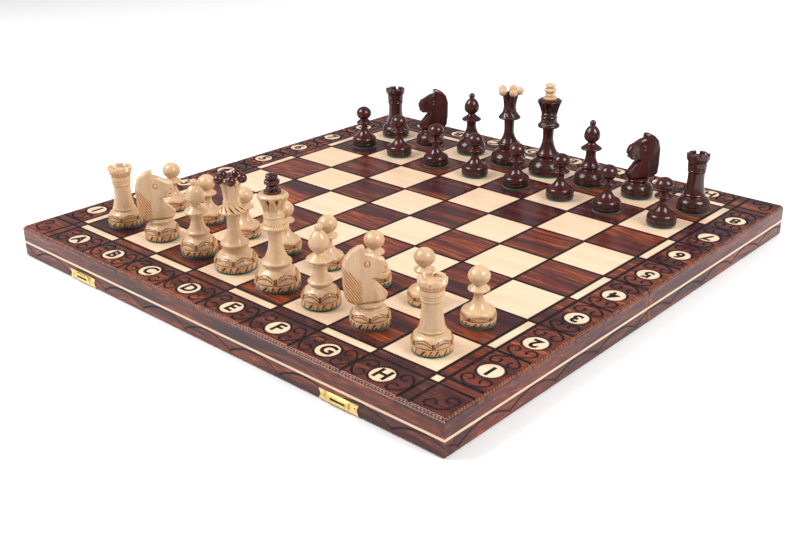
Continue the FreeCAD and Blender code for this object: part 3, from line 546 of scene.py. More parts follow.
def felt():
    """Thin green felt: short matted fibres and a soft sheen."""
    made, w, shader = material("Green felt", Roughness=0.95, Sheen_Weight=0.6,
                               Sheen_Roughness=0.5)
    space = object_space(w)
    fibre = w.noise(space, 1500.0, 3.0, 0.7, 1.5)
    cloud = w.noise(space, 160.0, 2.0)
    color = w.mix(w.range(fibre, 0.3, 0.7), (0.0, 0.07, 0.055, 1), (0.015, 0.2, 0.15, 1))
    w.feed(shader.inputs["Base Color"], w.mix(w.math("MULTIPLY", cloud, 0.4), color,
                                              (0.0, 0.11, 0.09, 1)))
    bump(w, shader, fibre, 0.0002)
    return made


FINISHES = {}


def finish(name):
    """A finish by the name of its slot in the record, or of its use, built when first asked."""
    if name not in FINISHES:
        look = bpy.context.scene.chess_woods
        deep, warm, glow = look.deep, look.warm, look.glow
        pale, tan = look.pale, look.tan
        upright = (math.radians(90), 0, 0)
        FINISHES[name] = {
            "mahogany_top": lambda: lacquered_wood("Panel wood", deep, warm, glow),
            "mahogany_rail": lambda: lacquered_wood(
                "Rail wood", [c * 0.9 for c in deep], [c * 0.9 for c in warm], glow, upright,
                130.0, False, 0.3),
            "mahogany_side": lambda: lacquered_wood(
                "Side rail wood", [c * 0.9 for c in deep], [c * 0.9 for c in warm], glow,
                (0, math.radians(90), math.radians(90)), 130.0, False, 0.3),
            "light_veneer": lambda: light_wood("Light veneer", pale, tan),
            "stringing": lambda: light_wood("Stringing", pale, tan, upright, False),
            "light_man_wood": lambda: turned_wood(
                "Light men", look.light_man, look.light_man_grain, (0.62, 0.23, 0.05),
                (0.035, 0.009, 0.004), 0.26),
            "dark_man_wood": lambda: turned_wood(
                "Dark men", look.dark_man, look.dark_man_grain, (0.035, 0.01, 0.008),
                (0.004, 0.003, 0.003), 0.18),
            "burned_wood": burned_wood,
            "rope_edge": rope_wood,
            "brass": brass,
            "green_felt": felt,
        }[name]()
    return FINISHES[name]


def dress(node, name):
    """Gives a CAD node's own mesh a finish."""
    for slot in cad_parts[node].material_slots:
        slot.material = finish(name)


def place(piece, body, slot, *replaced):
    """Says what a new piece rides on and what it stands for. The slot argument is not used."""
    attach(piece, body)
    if replaced:
        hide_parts(*replaced)
    return piece


# ---- the board's ornament


def groove_section(width, depth):
    """The cross-section of a burned line, seen along it: a shallow U with rounded lips.
    Columns are (across, up) and run clockwise from the low left corner."""
    half = width / 2
    return np.array([(-half, -depth), (-half, 0.00002), (-0.8 * half, 0.00003),
                     (-0.4 * half, -0.45 * depth), (0, -0.6 * depth), (0.4 * half, -0.45 * depth),
                     (0.8 * half, 0.00003), (half, 0.00002), (half, -depth)])


def burned_strip(start, end, look):
    """One burned line between two plan points: the U section carried along it. In the border
    a wheel has pressed it, so its bottom rises and falls as half a sine of the distance."""
    start, end = np.array(start, float), np.array(end, float)
    length = np.linalg.norm(end - start)
    along = (end - start) / length
    far = np.abs(start + along * np.arange(0, length, look.wheel / 4)[:, None]).max(1)
    every = np.arange(0, length, look.wheel / 4)
    keep = (far > FIELD - 0.25 * PITCH) | (np.arange(len(every)) % 24 == 0)
    stations = np.append(every[keep], length)
    centre = start + along * stations[:, None]
    section = groove_section(look.line_width * 1.04, look.line_depth * 0.96)
    pressed = np.clip((np.abs(centre).max(1) - FIELD + 0.2 * PITCH) / (0.1 * PITCH), 0, 1)
    wave = pressed * (0.5 + 0.5 * np.cos(2 * np.pi * stations / look.wheel))
    across = np.array([-along[1], along[0]])
    shape = np.exp(-(section[:, 0] / (0.35 * look.line_width)) ** 2)
    rise = np.where(section[:, 1] > -0.9 * look.line_depth * 0.96, 1.0, 0.0)
    up = TOP + section[:, 1] + wave[:, None] * (shape * rise) * look.line_depth * 0.75
    plan = centre[:, None] + section[None, :, :1] * across
    grid = np.concatenate([plan, up[..., None]], -1)[:, ::-1]
    points, faces = closed_tube(grid)
    return points, faces, np.ones(len(points))


def half_lines(side, look):
    """Start and end of every burned line on one half: the files run out from the fold, the
    ranks run right across, and both lines of the ring run out to the edge."""
    outer = EDGE - look.chamfer - 0.3 * MM
    steps = [PITCH * step for step in range(-4, 5)] + [-RING, RING]
    lines = [((x, side * SEAM), (x, side * outer)) for x in steps]
    lines += [((-outer, side * y), (outer, side * y)) for y in
              [PITCH * step for step in range(1, 5)] + [RING]]
    return lines


def seam_strip(side, look):
    """Half of the line on the fold: a bevelled strip with its outer wall on the seam."""
    outer = EDGE - look.chamfer - 0.3 * MM
    width, depth = look.line_width / 2 - SEAM, look.line_depth
    section = np.array([(0, -depth), (0, -0.5 * depth), (0.5 * width, -0.4 * depth),
                        (0.8 * width, 0.00003), (1.04 * width, 0.00002), (1.04 * width, -depth)])
    x = np.linspace(-outer, outer, 25)
    grid = np.empty((len(x), len(section), 3))
    grid[..., 0] = x[:, None]
    grid[..., 1] = side * (SEAM + section[:, 0])
    grid[..., 2] = TOP + section[:, 1] * 0.96
    if side < 0:
        grid = grid[:, ::-1]
    points, faces = closed_tube(grid[:, ::-1])
    return points, faces, np.ones(len(points))


def scroll_line(look):
    """A C-scroll with its back at the origin, open towards -X. Each end is a spiral whose
    radius grows evenly with the angle, and a cubic curve leads from it to the back."""
    angle = np.radians(np.linspace(-45, -300, 60))
    radius = np.linspace(0.72, 1.0, 60) * look.volute
    middle = np.array([-look.scroll_depth, look.scroll_reach])
    spiral = middle + radius[:, None] * np.stack([np.cos(angle), np.sin(angle)], -1)
    out = spiral[-1] - spiral[-2]
    out = out / np.linalg.norm(out) * look.scroll_reach * 1.2
    back, down = np.array([-0.9 * MM, 0]), np.array([0, -look.scroll_reach * 1.1])
    t = np.linspace(0, 1, 30)[1:, None]
    arm = ((2 * t**3 - 3 * t**2 + 1) * spiral[-1] + (t**3 - 2 * t**2 + t) * out
           + (3 * t**2 - 2 * t**3) * back + (t**3 - t**2) * down)
    upper = np.concatenate([spiral, arm])
    return np.concatenate([upper, upper[-2::-1] * (1, -1)])


def scroll_places(side):
    """Where the backs of the scrolls stand on one half, and how each is turned: two at every
    divider of the border, one at its two ends, and one in each corner cell."""
    spots = []
    for step in range(-4, 5):
        for turn in ((0, 180) if abs(step) < 4 else ((0,) if step > 0 else (180,))):
            spots.append((PITCH * step, side * MIDLINE, turn))
    for step in range(0, 5):
        for turn in (90, -90):
            if (step == 4 and turn == side * -90) or (step == 0 and turn == side * 90):
                continue
            spots += [(x, side * PITCH * step, turn) for x in (-MIDLINE, MIDLINE)]
    corner = FIELD + 0.645 * PITCH
    for sign in (-1, 1):
        spots.append((sign * corner, side * corner, math.degrees(math.atan2(side, sign))))
    return spots


def scrolls(side, look):
    """Every scroll of one half as pressed beads at an even pitch along its line."""
    line = evenly(scroll_line(look), look.bead_pitch)
    heading = headings(line)
    parts = []
    for x, y, turn in scroll_places(side):
        c, s = math.cos(math.radians(turn)), math.sin(math.radians(turn))
        spin = np.array([[c, s], [-s, c]])
        spot = line @ spin + (x, y)
        along = np.column_stack([heading @ spin, np.zeros(len(line))])
        parts.append(beads(flat_to_top(spot), along, (0, 0, 1), look.bead_pitch * 0.86,
                           look.bead_width, look.bead_height))
    return parts


def medallion_middles(side):
    """Where the medallions of one half stand, with their text and its turn in degrees."""
    spots = []
    for i in range(SQUARES):
        x = PITCH * (i - 3.5)
        spots.append((x, side * MIDLINE, "ABCDEFGH"[i], 0 if side < 0 else 180))
    for i in range(SQUARES):
        y = PITCH * (i - 3.5)
        if y * side > 0:
            spots.append((-MIDLINE, y, str(i + 1), 0))
            spots.append((MIDLINE, y, str(i + 1), 180))
    return spots


def medallion_rings(side, look):
    """A ring of beads round each medallion, laid on its rim, at equal angles."""
    count = int(round(2 * math.pi * look.medallion_ring / look.bead_pitch))
    angle = 2 * np.pi * np.arange(count) / count
    circle = look.medallion_ring * np.stack([np.cos(angle), np.sin(angle)], -1)
    along = np.stack([-np.sin(angle), np.cos(angle), np.zeros(count)], -1)
    return [beads(flat_to_top(circle + spot[:2]), along, (0, 0, 1), look.bead_pitch * 0.84,
                  look.bead_width * 1.1, look.bead_height) for spot in medallion_middles(side)]


def letters(side, look):
    """The burned letters and numbers of one half, as bevelled text made into a mesh."""
    made = []
    for x, y, text, turn in medallion_middles(side):
        curve = bpy.data.curves.new("letter", "FONT")
        curve.body = text
        curve.size = look.letter_size
        curve.align_x = curve.align_y = "CENTER"
        curve.offset = look.letter_weight
        curve.extrude = 0.12 * MM
        curve.bevel_depth = 0.1 * MM
        curve.bevel_resolution = 1
        curve.resolution_u = 4
        holder = bpy.data.objects.new("letter", curve)
        mesh = bpy.data.meshes.new_from_object(holder)
        mesh.transform(Matrix.Translation((x, y, TOP + 0.05 * MM))
                       @ Matrix.Rotation(math.radians(turn), 4, "Z"))
        made.append(mesh)
        bpy.data.objects.remove(holder)
    return made


def rope_edge(start, end, outward, look):
    """The moulded edge between two plan points: a round bar whose radius is cut back along a
    helix, so that it reads as twisted strands."""
    start, end = np.array(start, float), np.array(end, float)
    length = np.linalg.norm(end - start)
    along = (end - start) / length
    s = np.linspace(0, length, int(length / (look.rope_pitch / 7)) + 1)
    phi = 2 * np.pi * np.arange(10) / 10
    phase = 2 * np.pi * s[:, None] / look.rope_pitch + phi[None]
    cut = np.exp(-(np.cos(phase / 2) / 0.42) ** 2)
    taper = np.clip(np.minimum(s, length - s) / (0.8 * look.rope_radius), 0.05, 1) ** 0.5
    radius = look.rope_radius * (1 - 0.24 * cut) * taper[:, None]
    centre = start + along * s[:, None]
    out = np.array(outward, float)
    plan = centre[:, None] + (radius * np.cos(phi))[..., None] * out
    up = TOP - look.chamfer * 0.62 + radius * np.sin(phi)
    grid = np.concatenate([plan, up[..., None]], -1)
    if along[0] * out[1] - along[1] * out[0] > 0:
        grid, cut = grid[:, ::-1], cut[:, ::-1]
    points, faces = closed_tube(grid)
    return points, faces, with_ends(np.clip(1.6 * cut, 0, 1))


def rope_edges(side, look):
    """The moulding on the three outer edges of one half."""
    inset = EDGE - look.chamfer * 0.62
    return [rope_edge((-inset, side * inset), (inset, side * inset), (0, side), look)] + [
        rope_edge((sign * inset, side * SEAM), (sign * inset, side * inset), (sign, 0), look)
        for sign in (-1, 1)]


def garland_points(length_low, length_high, start, look):
    """The garland's beads along one face: (along, up). Each swag starts at a low point, rises
    as a power of a sine to just under the stringing and comes down again. Its first half is
    pressed so closely that it reads as a line."""
    low = RAIL_LOW[2] + look.garland_low
    rise = INLAY_LOW[2] - look.garland_gap - low
    lines = []
    first = int(math.floor((length_low - start) / look.garland_pitch))
    last = int(math.ceil((length_high - start) / look.garland_pitch))
    for swag in range(first, last):
        t = np.linspace(0, 1, 80)
        u = start + (swag + t) * look.garland_pitch
        line = np.stack([u, low + rise * np.sin(np.pi * t) ** 0.8], -1)
        for piece, pitch in ((line[:45], 0.75), (line[44:], 1.1)):
            dots = evenly(piece, look.bead_pitch * pitch)
            inside = (dots[:, 0] > length_low) & (dots[:, 0] < length_high)
            lines.append(np.column_stack([dots, headings(dots)])[inside])
    return np.concatenate(lines)


def garland(face, side, look):
    """The garland's beads on one outer face of a half. face is "end", "left" or "right"."""
    margin = 0.8 * MM
    if face == "end":
        dots = garland_points(-SIDE + margin, SIDE - margin, look.garland_shift, look)
        x = dots[:, 0] * -side
        places = np.stack([x, np.full(len(x), side * SIDE), dots[:, 1]], -1)
        along = np.stack([dots[:, 2] * -side, np.zeros(len(x)), dots[:, 3]], -1)
        normal = (0, side, 0)
    else:
        sign = 1 if face == "right" else -1
        low, high = sorted((side * (SEAM + margin), side * (SIDE - margin)))
        dots = garland_points(low, high, look.garland_shift_side, look)
        places = np.stack([np.full(len(dots), sign * SIDE), dots[:, 0], dots[:, 1]], -1)
        along = np.stack([np.zeros(len(dots)), dots[:, 2], dots[:, 3]], -1)
        normal = (sign, 0, 0)
    return beads(places, along, normal, look.bead_pitch * 0.9, look.bead_width * 0.85,
                 look.garland_height)


# ---- the men


def traced(corners, spacing):
    """A profile through (radius, height) corners in millimetres, resampled evenly in metres.
    A third entry is the radius of the arc that leads on from that corner: it swells outwards,
    or is hollow when it is negative."""
    runs = []
    for here, there in zip(corners, corners[1:]):
        a, b = np.array(here[:2], float), np.array(there[:2], float)
        if len(here) < 3:
            runs.append(np.stack([a, b]))
            continue
        chord = b - a
        span = np.linalg.norm(chord)
        bow = max(abs(here[2]), span / 2 * 1.0001)
        side = np.array([chord[1], -chord[0]]) / span * math.copysign(1, here[2])
        centre = (a + b) / 2 - side * math.sqrt(bow**2 - span**2 / 4)
        first, last = (math.atan2(*(p - centre)[::-1]) for p in (a, b))
        turn = (last - first + math.pi) % (2 * math.pi) - math.pi
        angle = first + turn * np.linspace(0, 1, 24)
        runs.append(centre + bow * np.stack([np.cos(angle), np.sin(angle)], -1))
    line = np.concatenate([runs[0]] + [run[1:] for run in runs[1:]])
    line = evenly(line, spacing / 3)
    soft = np.stack([np.convolve(np.pad(line[:, k], 2, "edge"), np.ones(5) / 5, "valid")
                     for k in range(2)], -1)
    soft[0], soft[-1] = line[0], line[-1]
    return evenly(soft, spacing) * MM


def foot_corners(base, foot, dome_round):
    """The foot that all men share: a flat band, a groove above it and a swelling dome."""
    rim = base / 2
    return [(0, 1.5), (rim - 0.6, 1.5), (rim, 2.1), (rim, foot - 0.7), (rim - 0.7, foot),
            (rim, foot + 0.7, dome_round)]


def disc(diameter, low, thickness):
    """A disc with a round edge, such as a ring, collar or bead."""
    out = diameter / 2 - thickness / 2
    return [(out, low, thickness * 0.51), (out, low + thickness)]


def pawn_corners():
    cap = 43 - 36.4
    return foot_corners(26, 5.2, 8) + [(11.2, 10.8, -12.3), (3.2, 22), (3.6, 25)] + disc(
        16.3, 25, 2) + [(3.8, 29.9, 7.4), (8, 36.4, (8**2 + cap**2) / (2 * cap)), (0, 43)]


def rook_corners():
    return foot_corners(29.5, 6.4, 7.6) + [(9.4, 14), (9.4, 14.6)] + disc(20.2, 14.6, 2.2) + [
        (9.2, 16.8, -60), (7.3, 32), (7.3, 36.8)] + disc(16.8, 36.8, 1.8) + disc(
        16.8, 39, 1.8) + [(8.4, 41.2), (8.4, 45.4), (10.2, 49.4), (10.2, 53), (7.2, 53),
                          (7.2, 49.8), (0, 49.8)]


def bishop_corners():
    return foot_corners(30, 6.8, 12) + [(7.9, 15.6), (7.9, 17.6)] + disc(19.4, 17.6, 2.4) + [
        (8.2, 20, -18), (4.9, 31), (4.9, 35.2)] + disc(20.4, 35.2, 1.8) + [
        (4.4, 40.6), (3.6, 42.4, 6.5), (7.75, 48.8, 12), (2.2, 58.22, 3.1), (0, 63.5)]


def knight_corners():
    return foot_corners(29.5, 6.6, 9) + [(9.4, 13.8), (9.4, 15.2)] + disc(20.4, 15.2, 2.2) + [
        (8.5, 17.4), (8.5, 18), (0, 18)]


def queen_corners():
    return foot_corners(35, 7, 13) + [(10, 14.8), (10, 19.6)] + disc(23.4, 19.6, 2.8) + [
        (9.7, 22.4, -22), (4.9, 36), (5.3, 46.8)] + disc(22.8, 46.8, 2.4) + [
        (7.2, 53.2), (6.8, 55)] + disc(14, 55, 1.8) + [
        (6.3, 56.8, -40), (9, 72.4), (7, 72.4), (2.24, 70.72, 2.8), (0, 75.2)]


def king_corners():
    return foot_corners(35.4, 6.6, 15) + [(10.5, 16.4), (10.5, 18.8)] + disc(
        24.2, 18.8, 2.8) + [(10.2, 21.6, -30), (5.2, 38), (5.6, 47.2)] + disc(22, 47.2, 3) + [
        (8, 52.6), (7.6, 56)] + disc(16.8, 56, 2.2) + [
        (7.5, 58.2, -34), (12.3, 72.8), (9.5, 75), (0, 75)]


def finial_corners():
    """Three round tiers on a low plate, the middle one the widest."""
    return [(0, 75), (6.6, 75), (6.6, 76.8), (3.7, 76.8)] + disc(10.4, 77.4, 3.6) + [
        (3.7, 81)] + disc(13, 81.6, 3.6) + [(3.7, 85.2)] + disc(10.4, 85.8, 3.6) + [(0, 90)]


MEN = {
    "pawn": dict(corners=pawn_corners, columns=72, swags=5, foot=5.2, dome=10.8, height=43),
    "rook": dict(corners=rook_corners, columns=160, swags=6, foot=6.4, dome=14, height=53),
    "bishop": dict(corners=bishop_corners, columns=80, swags=6, foot=6.8, dome=15.6,
                   height=63.5),
    "knight": dict(corners=knight_corners, columns=80, swags=6, foot=6.6, dome=13.8, height=59.8),
    "queen": dict(corners=queen_corners, columns=160, swags=6, foot=7, dome=14.8, height=75.2),
    "king": dict(corners=king_corners, columns=160, swags=6, foot=6.6, dome=16.4, height=75),
}


def bell(x, width):
    """A smooth hump, 1 at 0, that falls off as a Gaussian."""
    return np.exp(-((x / width) ** 2))


def carving_space(points, centre, foot_z, man):
    """What the burned ornament of the feet is drawn from: how far each point lies from the
    axis, its share of the way up the dome and up the band, and the number of swags."""
    up = (points[:, 2] - foot_z) / MM
    return {"off_x": (points[:, 0] - centre[0]) / MM, "off_y": (points[:, 1] - centre[1]) / MM,
            "dome_share": (up - man["foot"]) / (man["dome"] - man["foot"]),
            "band_share": (up - 1.5) / (man["foot"] - 2.2),
            "swags": np.full(len(points), man["swags"])}


def groove_burn(up, r, man):
    """The fine dark line in the groove between a foot's band and its dome."""
    return 0.9 * bell(up - man["foot"], 0.3) * (up > 2) * (r > 5)


def rook_cuts(up, angle, r):
    """Three cuts right across the turret, a line round its foot and nicks round its wall."""
    across = np.abs(np.sin(3 * angle)) * r / 3
    lowered = np.where((across < 1.4) & (up > 49.8), 49.8, up)
    line = bell(up - 45.6, 0.4)
    nicks = bell(up - 48, 0.8) * (np.cos(angle * 24) > 0.2) * (r > 8)
    return lowered, 0.25 * nicks + 0.3 * line, np.maximum(0.8 * line, 0.6 * nicks)


def queen_cuts(up, angle, r):
    """The coronet's five petals stand under the balls, with deep V grooves between them that
    widen from the bead to the rim. The collar's slope has slanted strokes."""
    share = np.clip((up - 58.4) / 12, 0, 1)
    gap = np.abs((angle * PETALS / (2 * np.pi) + 0.5) % 1 - 0.5)
    on = (up > 57.6) & (up < 72.6) & (r > 4.5)
    groove = np.clip(1 - gap / (0.05 + 0.3 * share), 0, 1)
    depth = groove * (0.5 + 2.4 * share) * on
    # Painted shade: this burn value darkens the V grooves between the petals.
    burn = 0.22 * groove * on
    strokes = on_collar(up, angle, 51, 2.2, 12)
    return depth + 0.3 * strokes, np.maximum(burn, strokes)


def king_cuts(up, angle, r):
    """The crown has eight raised V frames whose points are at its bead. Each holds a dark
    kite-shaped eye, and sunk triangular facets stand upright between them."""
    share = np.clip((up - 60) / 12.8, 0, 1)
    gap = np.abs(2 * ((angle * FRAMES / (2 * np.pi)) % 1) - 1)
    on = (up > 59.4) & (up < 73.2) & (r > 5)
    kite = np.abs(up - 68.6) / 3.4 + gap / 0.46
    eye = np.clip((1 - kite) / 0.2, 0, 1)
    frame_line = bell(share - gap, 0.16)
    dots = on_collar(up, angle, 51.2, 0.8, 30)
    sunk = (1 - frame_line) * np.clip(share * 6, 0, 1)
    depth = (1.7 * sunk + 0.9 * eye) * on
    # The kite eyes are burned; the 0.14 * sunk part is painted shade in the sunk facets.
    burn = np.maximum(eye, 0.14 * sunk) * on
    return depth + 0.3 * dots, np.maximum(burn, dots)


def on_collar(up, angle, middle, half, count):
    """Slanted strokes round the slope of a collar."""
    band = bell(up - middle, half)
    marks = bell(((angle * count / (2 * np.pi) + 0.2 * (up - middle)) % 1) - 0.5, 0.16)
    return np.clip(1.5 * band * marks, 0, 1)


def turned_man(kind, centre, foot_z, scale):
    """The turned body: the profile carried round its axis as x = r cos a, y = r sin a, with
    the carving taken off along the profile's own normal."""
    man = MEN[kind]
    line = traced(man["corners"](), 0.55) / MM
    heading = headings(line)
    angle = 2 * np.pi * np.arange(man["columns"]) / man["columns"]
    a = np.broadcast_to(angle, (len(line) - 2, man["columns"]))
    body = line[1:-1]
    r = np.repeat(body[:, :1], man["columns"], 1)
    up = np.repeat(body[:, 1:], man["columns"], 1)
    burn = groove_burn(up, r, man)
    depth = np.zeros_like(burn)
    if kind == "rook":
        lowered, depth, dark = rook_cuts(up, a, r)
        burn = np.maximum(burn, dark)
        up = lowered
    if kind in ("queen", "king"):
        # For queens and kings, dark holds burned marks and painted shade in the crown's sunk
        # parts.
        depth, dark = {"queen": queen_cuts, "king": king_cuts}[kind](up, a, r)
        burn = np.maximum(burn, dark)
    normal = np.stack([heading[1:-1, 1], -heading[1:-1, 0]], -1)
    r = r - depth * normal[:, :1]
    up = up - depth * normal[:, 1:]
    grid = np.stack([r * np.cos(a), r * np.sin(a), up], -1) * MM * scale
    points, faces = closed_tube(grid)
    points[-2:] = [(0, 0, line[0, 1] * MM * scale), (0, 0, line[-1, 1] * MM * scale)]
    return points + (*centre, foot_z), faces, with_ends(burn)


def foot_axis(node):
    """Where a man stands: the middle of the lowest millimetre of its CAD body, and that
    height."""
    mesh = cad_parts[node].data
    points = np.empty(len(mesh.vertices) * 3)
    mesh.vertices.foreach_get("co", points)
    points = points.reshape(-1, 3)
    low = points[:, 2].min()
    foot = points[points[:, 2] < low + MM]
    return (foot.min(0) + foot.max(0))[:2] / 2, float(low)


def knight_outline():
    """The horse's head seen from its left, in millimetres forward of the foot's middle and up
    from the table: chest, throat, jaw, mouth, nose, brow, crest and the round of the neck."""
    back = [(-3.6, 59.8), (-7.5, 59.4), (-12.5, 56.8), (-16.8, 52), (-18.8, 45), (-18.4, 30),
            (-17.2, 21.5)]
    face = [(-12.5, 18), (10.8, 18), (12.8, 22.8), (1.2, 35.8), (5.5, 36.4), (9.5, 36.4),
            (12, 38.6), (11, 39.9), (12.7, 41.5), (12.8, 45), (10.5, 49), (6.1, 51), (1.6, 53.7),
            (-1, 54.7), (-3.6, 55.2)]
    return np.array(face + back + face[:1], float)


def knight_head(centre, foot_z, turn, scale):
    """The head: each face is a fan of the outline drawn in to one point inside it, set off
    from the middle plane by a bevelled half-thickness, with the carving taken off it. It is
    thinner at the crest and the muzzle than at the foot."""
    low, rise, spacing, bevel_width = 18, 41.8, 0.42, 2.2
    loop = evenly(knight_outline(), spacing)[:-1]
    outline = (loop + np.roll(loop, 1, 0)) / 2
    heart = np.array([-4, 37.5])
    share = np.concatenate([np.linspace(0, 1, 46)[1:-1] ** 0.85, [0.985, 1.0]])
    flat = heart + share[:, None, None] * (outline - heart)
    x, z = flat[..., 0], flat[..., 1]
    gap = (1 - share)[:, None] * np.linalg.norm(outline - heart, axis=1)
    bevel = np.clip(1 - gap / bevel_width, 0, 1)
    at_foot, at_crest = 6.5, 3.4
    thick = (at_foot - (at_foot - at_crest) * (z - low) / rise) * (1 - 0.3 * bevel**1.6)
    thick = thick * (1 - 0.16 * np.clip((x - 4) / 9, 0, 1))
    depth, burn = horse_carving(x, z)
    front = np.stack([x, thick - depth, np.maximum(z, low - 0.3)], -1)
    back = front * (1, -1, 1)
    points, faces = closed_tube(np.concatenate([front, back[::-1]])[:, ::-1])
    marks = with_ends(np.concatenate([burn, burn[::-1]])[:, ::-1])
    c, s = math.cos(turn), math.sin(turn)
    points = points * MM * scale
    turned = np.stack([points[:, 0] * c - points[:, 1] * s,
                       points[:, 0] * s + points[:, 1] * c, points[:, 2]], -1)
    return turned + (*centre, foot_z), faces, marks


def horse_carving(x, z):
    """Depth and burn of the head's carving at x forward and z up, in millimetres: parallel
    mane cuts that run down and forward from the back of the neck, a ringed eye with a bulging
    ball, the mouth, the nostril, the cheek and the facet of the chest."""
    limit = np.where(z > 34, -6.8 - 0.91 * (z - 34), -6.1 - 0.04 * (z - 18))
    mane = np.clip((limit - x) / 0.8, 0, 1) * (z > 18.8)
    cuts = bell(((0.83 * x + 0.56 * z) / 1.5) % 1 - 0.5, 0.22) * mane
    far = np.hypot(x + 2.4, z - 47)
    ring = bell(far - 1.9, 0.4)
    mouth = bell(z - 39.9 - 0.12 * (x - 11), 0.35) * (x > 8)
    nostril = bell(np.hypot(x - 10.4, z - 43.4), 0.65)
    cheek = bell(np.hypot(x - 1, z - 41.5) - 5.2, 0.5) * (x > 1.5) * (z < 42)
    chest = np.clip((x - 1 - 5.1 * (33 - z) / 15) / 5, 0, 1) * (z < 33.5)
    depth = (0.45 * cuts + 0.55 * ring - 0.6 * bell(far, 1.1) + 0.6 * nostril + 0.5 * mouth
             + 0.25 * cheek + 1.8 * chest)
    burn = np.maximum.reduce([0.8 * cuts, 0.6 * ring, nostril, 0.9 * mouth, 0.2 * cheek])
    return depth, burn


def ball_grid(centre, radius, rows=20, columns=28):
    """A ball: x and y are r cos(latitude) round the circle and z is r sin(latitude)."""
    latitude = np.linspace(-np.pi / 2, np.pi / 2, rows)[1:-1, None]
    angle = 2 * np.pi * np.arange(columns) / columns
    r = radius * np.cos(latitude)
    up = radius * np.sin(latitude) + 0 * angle
    grid = np.stack([r * np.cos(angle), r * np.sin(angle), up], -1)
    points, faces = closed_tube(grid)
    points[-2:, 2] = (-radius, radius)
    return points + centre, faces, np.zeros(len(points))


def men_nodes(kind):
    """The CAD nodes of one kind of man, without their loose balls and finials."""
    return sorted(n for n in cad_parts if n.split("_")[1:2] == [kind]
                  and not n.endswith(("_balls", "_finial")))


def wood_of(node, other=False):
    light = node.startswith("white") != other
    return "light_man_wood" if light else "dark_man_wood"


def make_men(kind):
    """Turns, carves and pads every man of one kind."""
    look = bpy.context.scene.chess_men
    for node in men_nodes(kind):
        centre, foot_z = foot_axis(node)
        scale = (node_box(node)[1][2] - foot_z) / (MEN[kind]["height"] * MM)
        parts = [turned_man(kind, centre, foot_z, scale)]
        if kind == "knight":
            turn = math.radians(look.white_knight_turn if node.startswith("white")
                                else look.black_knight_turn)
            parts.append(knight_head(centre, foot_z, turn, scale))
        points, faces, burn = joined(parts)
        piece = new_piece(node + "_turned", points, faces, finish(wood_of(node)), burn=burn,
                          **carving_space(points, centre, foot_z, MEN[kind]))
        place(piece, node, wood_of(node), node)
        make_pad(node, centre, foot_z, kind)


def make_pad(node, centre, foot_z, kind):
    """The felt pad: a disc whose edge wavers by a few hundredths, so that it looks cut."""
    rim, inset = MEN[kind]["corners"]()[2][0], 0.45
    radius = (rim - inset) * MM
    angle = 2 * np.pi * np.arange(72) / 72
    waver = 1 + 0.004 * np.sin(9 * angle + centre[0] * 90) + 0.003 * np.sin(23 * angle)
    rings = [(0.5, 0.0), (0.985, 0.0), (1.0, 0.25), (1.0, 1.3), (0.97, 1.52), (0.5, 1.52)]
    grid = np.stack([np.stack([radius * share * waver * np.cos(angle),
                               radius * share * waver * np.sin(angle),
                               np.full(72, height * MM)], -1) for share, height in rings])
    points, faces = closed_tube(grid)
    piece = new_piece(node + "_felt", points + (*centre, foot_z), faces, finish("green_felt"))
    place(piece, node, "green_felt")


# ---- settings


class ChessWoods(bpy.types.PropertyGroup):
    """Colours of the woods."""

    def color(name, default, text):
        return bpy.props.FloatVectorProperty(name=name, description=text, default=default,
                                             subtype="COLOR", size=3, min=0, max=1)

    deep: color("Deep wood", (0.042, 0.010, 0.015), "Ground colour of the dark board wood")
    warm: color("Warm streak", (0.15, 0.028, 0.016), "Streaks of the dark board wood")
    glow: color("Glow", (0.62, 0.14, 0.03), "Rare orange lines of the dark board wood")
    pale: color("Pale veneer", (0.86, 0.64, 0.46), "Ground colour of the light squares")
    tan: color("Veneer grain", (0.74, 0.49, 0.31), "Grain of the light squares")
    light_man: color("Light man", (0.74, 0.50, 0.31), "Ground colour of the light men")
    light_man_grain: color("Light man grain", (0.58, 0.36, 0.18), "Grain of the light men")
    dark_man: color("Dark man", (0.085, 0.013, 0.009), "Ground colour of the dark men")
    dark_man_grain: color("Dark man grain", (0.016, 0.004, 0.006), "Grain of the dark men")


